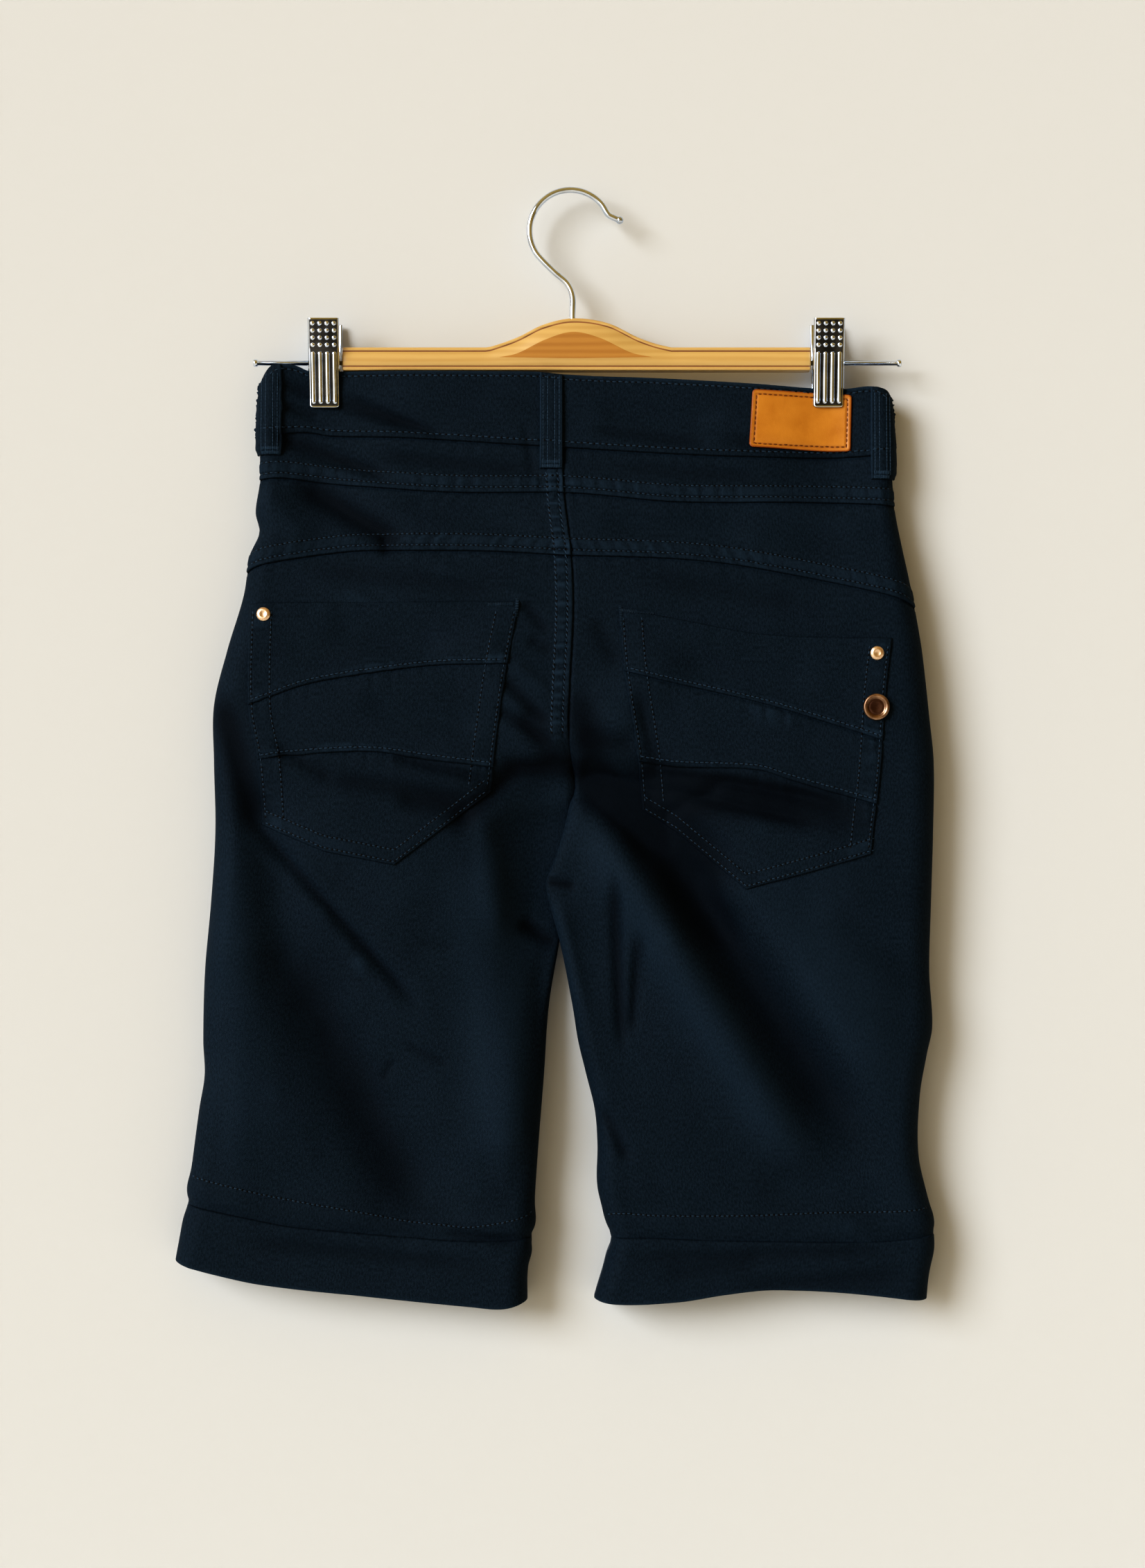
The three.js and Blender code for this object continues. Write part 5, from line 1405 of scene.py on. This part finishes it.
def sew(name, rows, material=threadMaterial):
    clouds = []
    for faceName, line, style in rows:
        clouds += stitchesAlong(faceName, line, style, len(line))
    count = len(stitchVerts)
    polygons = []
    for place in range(len(clouds)):
        polygons += [[index + place * count for index in polygon] for polygon in stitchFaces]
    mesh = bpy.data.meshes.new(name)
    mesh.from_pydata((np.concatenate(clouds) * mm).tolist(), [], polygons)
    mesh.polygons.foreach_set("use_smooth", np.ones(len(polygons), bool))
    mesh.update()
    addObject(name, mesh, material, ())


# Needle holes: dark sunk dots between the stitches of a row, their near-black colour painted shade
def pierce(name, rows):
    sew(name, [(faceName, line, {**style, **holeShape}) for faceName, line, style in rows], holeShadeMaterial)


def acrossLine(lineOf, shift, xFrom, xTo, count=160):
    x = np.linspace(xFrom, xTo, count)
    return np.stack([x, lineOf(x) + shift], -1)


def downLine(lineOf, shift, zFrom, zTo, count=120):
    z = np.linspace(zFrom, zTo, count)
    return np.stack([lineOf(z) + shift, z], -1)


bodyRows = {
    "waistbandSewing": [
        ("back", acrossLine(bandTop, -3.2, -191, 199), bandRow),
        ("back", acrossLine(bandSeam, 3.6, -196, 203), bandRow),
        ("front", acrossLine(frontBandTop, -3.2, -191, 199), bandRow),
        ("front", acrossLine(bandSeam, 3.6, -196, 203), bandRow),
    ],
    "basqueSewing": [
        ("back", acrossLine(basqueSeam, rise, -197.5, 204), plainRow) for rise in felled["rows"]
    ],
    "yokeSewing": [("back", acrossLine(yokeSeam, rise, -203, 214), plainRow) for rise in felled["rows"]],
    "seatSewing": [("back", downLine(seatX, -shift, -178, -345), seatRow) for shift in felled["rows"]],
    "frontSewing": [("front", downLine(seatX, -shift, -322, -352), plainRow) for shift in felled["rows"]],
}
for name, rows in bodyRows.items():
    sew(name, rows)
    pierce(name + "Holes", rows)
print("body sewn")

hemRows = {
    "left": {"x": [-242, -236.7, -215.2, -191.8, -161.9, -128.9, -104.3, -79.2, -66, -46.2, -29.5, -22.9],
             "z": [-622, -623.5, -628.8, -634.5, -640.2, -645.9, -650.8, -653.4, -654.7, -652.1, -648.1,
                   -644.2]},
    "right": {"x": [17, 21.1, 30.8, 55.4, 112.2, 136.4, 161, 193.6, 217.8, 228.4],
              "z": [-647, -647.2, -645.9, -647.2, -647.2, -646.4, -645.5, -645, -643.7, -642]},
}
hemCurves = {side: curve(table, "x", "z") for side, table in hemRows.items()}
hemEnds = {"left": (-240, -23), "right": (19, 226)}
legRows = [
    (faceName, acrossLine(hemCurves[side], 0, *ends), plainRow)
    for faceName in ("back", "front") for side, ends in hemEnds.items()
]
sew("hemSewing", legRows)
pierce("hemSewingHoles", legRows)


pocketEdgeEnds = {
    "left": {"leftEdge": (-266, -398), "rightEdge": (-266, -376)},
    "right": {"leftEdge": (-270, -388), "rightEdge": (-288, -416)},
}


def pocketRows(side):
    lines = pocketCurves[side]
    rows = []
    for edge, inward in (("leftEdge", 1), ("rightEdge", -1)):
        for deep in pocket["sideRows"]:
            line = downLine(lines[edge], inward * deep, *pocketEdgeEnds[side][edge])
            rows.append(("back", line, plainRow))
    left, right = float(lines["leftEdge"](-380.0)), float(lines["rightEdge"](-380.0))
    for deep in pocket["lowRows"]:
        rows.append(("back", acrossLine(lines["bottom"], deep, left + 2.2, right - 2.2), plainRow))
    for seam in ("upperSeam", "lowerSeam"):
        level = -320.0 if seam == "upperSeam" else -362.0
        ends = (float(lines["leftEdge"](level)) + 1, float(lines["rightEdge"](level)) - 1)
        rows.append(("back", acrossLine(lines[seam], pocket["seamRow"], *ends), seamStitch))
    return rows


for side in pocketLines:
    sew(side + "PocketSewing", pocketRows(side))
    pierce(side + "PocketHoles", pocketRows(side))

waistLeft, waistRight = (float(halves[side]["side"](np.array(-150.0))) for side in ("left", "right"))
loopRows = []
for name, faceName, halfName, middle, bottom in loopPlaces:
    topLine = bandTop if faceName == "back" else frontBandTop
    top = float(topLine(np.array(float(middle)))) - 2
    for shift in (-5.1, -2.3, 2.3, 5.1):
        x = min(max(middle + shift, waistLeft + 0.8), waistRight - 0.8)
        loopRows.append((faceName, [(x, top), (x, bottom + 1.5)], chainRow))
    for rise in (1.6, 4.2):
        ends = (max(middle - 6, waistLeft + 1), min(middle + 6, waistRight - 1))
        loopRows.append((faceName, [(ends[0], bottom + rise), (ends[1], bottom + rise)], tackRow))
sew("loopSewing", loopRows)

tacks = [
    ("back", [(-52.4, -262.7), (-36, -262.3)], tackRow),
    ("back", [(-33.6, -259), (-34.4, -270.5)], tackRow),
    ("back", [(31, -266), (52, -268.6)], tackRow),
    ("back", [(31, -263), (32, -276)], tackRow),
]
sew("tackSewing", tacks, tackThreadMaterial)

flyLine = []
for part in np.linspace(0, 1, 60):
    z = -176 + (fly["bottom"] + 4 + 176) * part
    fall = min(max((fly["turn"] - z) / (fly["turn"] - fly["bottom"] - 3), 0), 1)
    flyLine.append((fly["x"] - (fly["width"] - 4) * math.sqrt(max(1 - fall ** 2, 0)) - 1, z))
flyInner = [(x + 3.2 if x < -6 else x, z + (2 if z < -290 else 0)) for x, z in flyLine]
sew("flySewing", [("front", flyLine, plainRow), ("front", flyInner, plainRow),
                  ("front", [(0.8, -174), (0.8, -306)], plainRow)])


def frameLine(inset):
    u, w = inset / patch["width"], inset / patch["height"]
    corners = [patchPlace(a, b) for a, b in ((u, w), (1 - u, w), (1 - u, 1 - w), (u, 1 - w))]
    corners.append(corners[0])
    return corners


sew("patchSewing", [("back", frameLine(patch["frame"]), frameRow)], tanThreadMaterial)
print("sewing ready")

# Copper rivets and buttons, turned and set on the cloth


def lathe(name, profile, sides=48):
    bm = bmesh.new()
    verts = [bm.verts.new((r * mm, 0, h * mm)) for r, h in profile]
    outline = [bm.edges.new(pair) for pair in zip(verts, verts[1:])]
    bmesh.ops.spin(bm, geom=verts + outline, cent=(0, 0, 0), axis=(0, 0, 1), angle=2 * math.pi,
                   steps=sides, use_merge=True, use_duplicate=False)
    bmesh.ops.remove_doubles(bm, verts=bm.verts, dist=1e-6)
    bmesh.ops.recalc_face_normals(bm, faces=bm.faces)
    for face in bm.faces:
        face.smooth = True
    mesh = bpy.data.meshes.new(name)
    bm.to_mesh(mesh)
    bm.free()
    return mesh


# Outlines from the middle outwards and back underneath: radius and height
rivetProfile = [(0.0, 1.25), (1.3, 1.2), (1.9, 1.55), (2.6, 1.6), (3.6, 1.3), (4.3, 0.7), (4.5, 0.3),
                (4.3, 0.02), (0.0, 0.0)]
buttonProfile = [(0.0, 1.5), (3.2, 1.55), (3.9, 1.75), (4.4, 1.5), (5.2, 1.45), (5.7, 2.3), (6.6, 2.9),
                 (7.5, 2.95), (8.2, 2.4), (8.5, 1.4), (8.2, 0.6), (7.0, 0.1), (0.0, 0.0)]
buttonHollow = 5.3
studs = [
    ("rivet_left", rivetProfile, "back", -193.2, -268.8),
    ("rivet_right", rivetProfile, "back", 192.1, -293.3),
    ("pocket_button", buttonProfile, "back", 191.4, -327.1),
    ("waist_button", buttonProfile, "front", -8, -140),
]
for node, profile, faceName, x, z in studs:
    at, normal = dropOn(faceName, x, z)
    mesh = lathe(node, profile)
    isButton = profile is buttonProfile
    mesh.materials.append(agedMaterial if isButton else copperMaterial)
    # Painted shade: the button's hollow centre takes a darker copy of the copper
    mesh.materials.append(shadeCopper)
    for polygon in mesh.polygons:
        centre = polygon.center / mm
        inHollow = math.hypot(centre.x, centre.y) < buttonHollow and centre.z > 1
        polygon.material_index = 1 if isButton and inHollow else 0
    turn = Vector((0, 0, 1)).rotation_difference(Vector(normal)).to_matrix().to_4x4()
    mesh.transform(Matrix.Translation(Vector(at + normal * 0.05) * mm) @ turn)
    addObject(node + "Metal", mesh, None, [node])
print("studs ready")

# Hanger: wooden bar with a burnt line near each edge, amber inlay, rods, hook and clips

bar = {"left": -144.9, "right": 151.8, "bottom": -113.5, "top": -98.9, "thick": 11.0, "round": 1.2,
       "humpLeft": -54.0, "humpRight": 63.4, "line": 2.1, "lineWidth": 0.75, "lineDeep": 0.12}
humpLine = {"x": [-54, -50, -33.9, -17.6, 0.9, 22.9, 42.2, 53, 63.4],
            "z": [-98.9, -98.2, -92.5, -84.5, -80.5, -83.4, -92.5, -96.4, -98.9]}
hump = curve(humpLine, "x", "z")


def barTop(x):
    return np.where((x > bar["humpLeft"]) & (x < bar["humpRight"]), hump(x), bar["top"])


# A closed body from rings of places, one after the other
def ringGrid(name, rings):
    closed = np.concatenate([rings, rings[:, :1]], axis=1)
    mesh = gridMesh(name, closed, (1, 1, 1))
    bm = bmesh.new()
    bm.from_mesh(mesh)
    bmesh.ops.remove_doubles(bm, verts=bm.verts, dist=1e-7)
    bmesh.ops.holes_fill(bm, edges=[edge for edge in bm.edges if edge.is_boundary], sides=0)
    bmesh.ops.recalc_face_normals(bm, faces=bm.faces)
    bm.to_mesh(mesh)
    bm.free()
    return mesh


def layBar():
    half, r = bar["thick"] / 2, bar["round"]
    x = np.unique(np.concatenate([
        np.linspace(bar["left"], bar["humpLeft"], 24), np.linspace(bar["humpLeft"], bar["humpRight"], 90),
        np.linspace(bar["humpRight"], bar["right"], 24)]))
    x = np.concatenate([[x[0], x[0] + 0.3, x[0] + 0.9], x[1:-1], [x[-1] - 0.9, x[-1] - 0.3, x[-1]]])
    inset = np.zeros(len(x))
    inset[[0, -1]], inset[[1, -2]] = 0.9, 0.25
    section = []
    for angle in np.linspace(0, math.pi / 2, 5):
        section.append((-half + r - r * math.sin(angle), "top", r - r * math.cos(angle)))
    line, wide, deep = bar["line"], bar["lineWidth"], bar["lineDeep"]
    section += [(-half, "top", line), (-half + deep, "top", line + 0.1),
                (-half + deep, "top", line + wide), (-half, "top", line + wide + 0.1)]
    faceSide = section + [(y, "bottom", inwards) for y, edge, inwards in section[::-1]]
    whole = faceSide + [(-y, edge, inwards) for y, edge, inwards in faceSide[::-1]]
    rings = np.zeros((len(x), len(whole), 3))
    top = barTop(x)
    for place, (y, edge, inwards) in enumerate(whole):
        pull = np.maximum(inwards, inset)
        rings[:, place, 0] = x
        rings[:, place, 1] = np.clip(y, -half + inset, half - inset)
        rings[:, place, 2] = top - pull if edge == "top" else bar["bottom"] + pull
    mesh = ringGrid("hanger_bar", rings)
    mesh.materials.append(woodMaterial)
    mesh.materials.append(burntMaterial)
    for polygon in mesh.polygons:
        at = np.array(polygon.center) / mm
        fromTop, fromBottom = float(barTop(at[0:1])[0]) - at[2], at[2] - bar["bottom"]
        near = min(fromTop, fromBottom)
        onFace = abs(abs(at[1]) - half) < 0.4
        polygon.material_index = 1 if onFace and line - 0.02 < near < line + wide + 0.12 else 0
        polygon.use_smooth = True
    addObject("hangerBarWood", mesh, None, ["hanger_bar"])


layBar()

inlay = {"left": -46.0, "right": 51.0, "wall": 0.7, "proud": 0.06}
inlayTopLine = {"x": [-46, -34, -16, 0.9, 18, 38, 51],
                "z": [-105, -102.4, -93.6, -88.9, -92.6, -102, -104.8]}
inlayLowLine = {"x": [-46, 1, 51], "z": [-105.6, -106.2, -105.6]}
inlayTop = curve(inlayTopLine, "x", "z")
inlayLow = curve(inlayLowLine, "x", "z")


def layInlay():
    u, w = np.meshgrid(np.linspace(0, 1, 90), spread(16, 1.2, 1, 1, 0.4))
    x = mix(inlay["left"], inlay["right"], u)
    z = mix(inlayTop(x), inlayLow(x), w)
    rim = np.minimum(inlayTop(x) - z, z - inlayLow(x))
    y = -bar["thick"] / 2 - inlay["proud"] + 0.1 * np.exp(-(rim / 0.5) ** 2)
    mesh = gridMesh("bar_inlay", np.stack([x, y, z], -1), (0, -1, 0))
    thicken(addObject("barInlayWood", mesh, inlayMaterial, ["bar_inlay"]), inlay["wall"])


layInlay()


# An even curve through given points
def smoothPath(points, count):
    points = np.array(points, float)
    padded = np.concatenate([[2 * points[0] - points[1]], points, [2 * points[-1] - points[-2]]])
    place = np.linspace(0, len(points) - 1 - 1e-6, count)
    i = place.astype(int)
    t = (place - i)[:, None]
    a, b, c, d = padded[i], padded[i + 1], padded[i + 2], padded[i + 3]
    bend = (2 * a - 5 * b + 4 * c - d) * t ** 2
    return 0.5 * (2 * b + (c - a) * t + bend + (3 * b - a - 3 * c + d) * t ** 3)


def tubeAlong(name, path, radius, sides=16, side=(0, 1, 0)):
    along = unit(np.gradient(path, axis=0))
    first = unit(np.cross(along, np.array(side, float)))
    second = unit(np.cross(along, first))
    angle = np.linspace(0, 2 * math.pi, sides, endpoint=False)
    radius = np.broadcast_to(radius, (len(path),))
    around = first[:, None] * np.cos(angle)[None, :, None] + second[:, None] * np.sin(angle)[None, :, None]
    return ringGrid(name, path[:, None] + around * radius[:, None, None])


hook = {"x": -0.4, "z": -24.1, "radius": 26.0, "start": 228.0, "end": 24.0, "wire": 1.9, "ball": 2.5,
        "stem": [(0.9, -93.5), (0.9, -78), (0.9, -66), (-2.6, -57.6), (-10.6, -50.4)],
        "nose": (26.6, -15.6), "tip": (30.8, -17.4)}


def joinMeshes(name, meshes):
    bm = bmesh.new()
    for mesh in meshes:
        bm.from_mesh(mesh)
        bpy.data.meshes.remove(mesh)
    for face in bm.faces:
        face.smooth = True
    joined = bpy.data.meshes.new(name)
    bm.to_mesh(joined)
    bm.free()
    return joined


def ballMesh(name, radius, at, scale=(1, 1, 1)):
    bm = bmesh.new()
    bmesh.ops.create_uvsphere(bm, u_segments=16, v_segments=8, radius=radius * mm)
    bmesh.ops.scale(bm, vec=scale, verts=bm.verts)
    bmesh.ops.translate(bm, vec=Vector(at) * mm, verts=bm.verts)
    mesh = bpy.data.meshes.new(name)
    bm.to_mesh(mesh)
    bm.free()
    return mesh


def layHook():
    points = list(hook["stem"])
    for part in np.linspace(0, 1, 13):
        angle = math.radians(mix(hook["start"], hook["end"], part))
        x = hook["x"] + hook["radius"] * math.cos(angle)
        points.append((x, hook["z"] + hook["radius"] * math.sin(angle)))
    points += [hook["nose"], hook["tip"]]
    path = smoothPath([(x, 0, z) for x, z in points], 150)
    wire = tubeAlong("wire", path, hook["wire"], 20)
    ball = ballMesh("ball", hook["ball"], (hook["tip"][0], 0, hook["tip"][1]))
    addObject("hookWire", joinMeshes("hook", [wire, ball]), chromeMaterial, ["hook"])


layHook()

rod = {"z": -108.2, "radius": 1.55, "knob": 2.35}


def layRod(name, xFrom, xTo, knobX):
    out = 1 if knobX > 0 else -1
    radius, knob, length = rod["radius"], rod["knob"], abs(xTo - xFrom)
    profile = [(0.0, 1.5), (1.6, 1.5), (2.2, 1.2), (knob, 0.6), (knob, -0.8), (2.0, -1.2), (radius, -1.3),
               (radius, -length), (0.0, -length)]
    mesh = lathe("side_rod_" + name, profile, 28)
    place = Matrix.Translation(Vector((knobX, 0, rod["z"])) * mm)
    mesh.transform(place @ Matrix.Rotation(out * math.pi / 2, 4, "Y"))
    addObject(name + "RodMetal", mesh, chromeMaterial, ["side_rod_" + name])


layRod("left", -199, -133.2, -200.2)
layRod("right", 207, 140.1, 208.2)

clip = {
    "width": 19.6, "top": -81.8, "tip": -137.0, "wall": 1.1, "topY": 13.0, "elbowZ": -113.0, "elbowY": 7.5,
    "dotPitch": 4.4, "dotTop": -85.2, "dotRadius": 1.65, "recessWidths": (17.6, 17.2), "recessLift": 0.06,
    "ribPitch": 4.5, "ribTop": -101.8, "ribLow": -135.4, "ribRadius": 1.75, "ribSunk": 0.75, "earThick": 0.9,
    "springTurns": 7, "springHalf": 6.0, "springRadius": 2.7, "springWire": 0.6,
}
clipGrip = cloth["pinchDepth"] + cloth["bandWall"] / 2 + 0.9


def jawY(z, tipY):
    levels = [clip["tip"], clip["tip"] + 6, clip["elbowZ"], clip["top"]]
    return np.interp(z, levels, [tipY, tipY, clip["elbowY"], clip["topY"]])


def jawPlate(name, middle, sign, tipY):
    u, w = np.meshgrid(np.linspace(-1, 1, 21), spread(55, 1.4, 2, 2, 0.4))
    z = mix(clip["top"], clip["tip"], w)
    halfWidth = clip["width"] / 2
    rim = (1 - np.abs(u)) * halfWidth
    low = z - clip["tip"]
    corner = np.clip(1 - low / 1.6, 0, 1)
    x = middle + u * (halfWidth - 1.6 * (1 - np.sqrt(1 - corner ** 2)))
    bend = 0.9 * np.clip(1 - rim / 1.4, 0, 1) ** 2
    y = sign * (jawY(z, tipY) + clip["wall"] - bend)
    return gridMesh(name, np.stack([x, y, z], -1), (0, sign, 0))


def ribMesh(x, outerAt):
    share = np.linspace(0, 1, 40)
    z = mix(clip["ribTop"], clip["ribLow"], share)
    sunk = np.pad([outerAt(level, -clip["ribSunk"]) for level in z], 2, mode="edge")
    depth = np.convolve(sunk, np.ones(5) / 5, "valid")
    path = np.stack([np.full(40, x), depth, z], -1)
    fromEnd = np.minimum(share, 1 - share) * (clip["ribTop"] - clip["ribLow"])
    cap = np.clip(1 - fromEnd / clip["ribRadius"], 0, 0.995)
    return tubeAlong("rib", path, clip["ribRadius"] * np.sqrt(1 - cap ** 2), 20)


# Painted shade: a dark sheet for the ground that shows between the dots and between the ribs
def recessMesh(name, middle, sign, tipY):
    levels = (clip["dotTop"] + 2.4, clip["ribTop"] + 1.2, clip["ribLow"] - 0.6)
    fields = []
    for high, low, width in zip(levels, levels[1:], clip["recessWidths"]):
        u, w = np.meshgrid(np.linspace(-0.5, 0.5, 3), np.linspace(0, 1, 30))
        z = mix(high, low, w)
        y = sign * (jawY(z, tipY) + clip["wall"] + clip["recessLift"])
        fields.append(gridMesh("recess", np.stack([middle + u * width, y, z], -1), (0, sign, 0)))
    return joinMeshes(name, fields)


# A small side plate of a jaw, that turns on the rod
def earMesh(middle, side, sign, inset):
    inner = middle + side * (clip["width"] / 2 - inset - clip["earThick"])
    outline = [(sign * clip["topY"] * 0.72, -99.5), (sign * -3.6, -105), (sign * -3.6, -111.5),
               (sign * (clip["elbowY"] + 0.6), -113)]
    bm = bmesh.new()
    face = bm.faces.new([bm.verts.new((inner * mm, y * mm, z * mm)) for y, z in outline])
    grown = bmesh.ops.extrude_face_region(bm, geom=[face])
    moved = [item for item in grown["geom"] if isinstance(item, bmesh.types.BMVert)]
    bmesh.ops.translate(bm, vec=(side * clip["earThick"] * mm, 0, 0), verts=moved)
    bmesh.ops.recalc_face_normals(bm, faces=bm.faces)
    bmesh.ops.bevel(bm, geom=bm.edges, offset=0.25 * mm, segments=2, affect="EDGES", profile=0.5, material=-1)
    mesh = bpy.data.meshes.new("ear")
    bm.to_mesh(mesh)
    bm.free()
    return mesh


def layJaw(clipName, middle, faceName, tipY, earInset):
    sign = faces[faceName]["sign"]
    node = "clip_{}_{}_jaw".format(clipName, faceName)
    plate = jawPlate(node, middle, sign, tipY)
    thicken(addObject(node + "Metal", plate, chromeMaterial, [node]), clip["wall"])

    def outerAt(z, lift):
        return sign * (float(jawY(z, tipY)) + clip["wall"] + lift)

    bumps = []
    for column in range(4):
        x = middle + (column - 1.5) * clip["ribPitch"]
        for row in range(4):
            z = clip["dotTop"] - row * clip["dotPitch"]
            bumps.append(ballMesh("dot", clip["dotRadius"], (x, outerAt(z, 0.1), z), (1, 0.65, 1)))
        bumps.append(ribMesh(x, outerAt))
    addObject(node + "Ribs", joinMeshes(node + "Ribs", bumps), chromeMaterial, ())
    addObject(node + "Recess", recessMesh(node + "Recess", middle, sign, tipY), shadeMetal, ())
    ears = [earMesh(middle, side, sign, earInset) for side in (-1, 1)]
    addObject(node + "Ears", joinMeshes(node + "Ears", ears), chromeMaterial, ())


def laySpring(clipName, middle):
    angle = np.linspace(0, clip["springTurns"] * 2 * math.pi, 210)
    x = middle - clip["springHalf"] + 2 * clip["springHalf"] * angle / angle[-1]
    y, z = clip["springRadius"] * np.cos(angle), rod["z"] + clip["springRadius"] * np.sin(angle)
    node = "clip_{}_spring".format(clipName)
    wire = tubeAlong(node, np.stack([x, y, z], -1), clip["springWire"], 8, (1, 0, 0))
    addObject(node + "Wire", wire, chromeMaterial, [node])


# The right back jaw stands further out, on the leather patch
for clipName, middle, over in (("left", cloth["clipX"][0], 0.0), ("right", cloth["clipX"][1], 1.6)):
    layJaw(clipName, middle, "back", clipGrip + over, 0.0)
    layJaw(clipName, middle, "front", clipGrip, 1.2)
    laySpring(clipName, middle)
print("hanger ready")

# The cloth pieces, gone through one by one; nothing is done with them

for node, made in clothPieces.items():
    if node.startswith("waistband"):
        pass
    elif "pocket" in node or "cuff" in node:
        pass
    else:
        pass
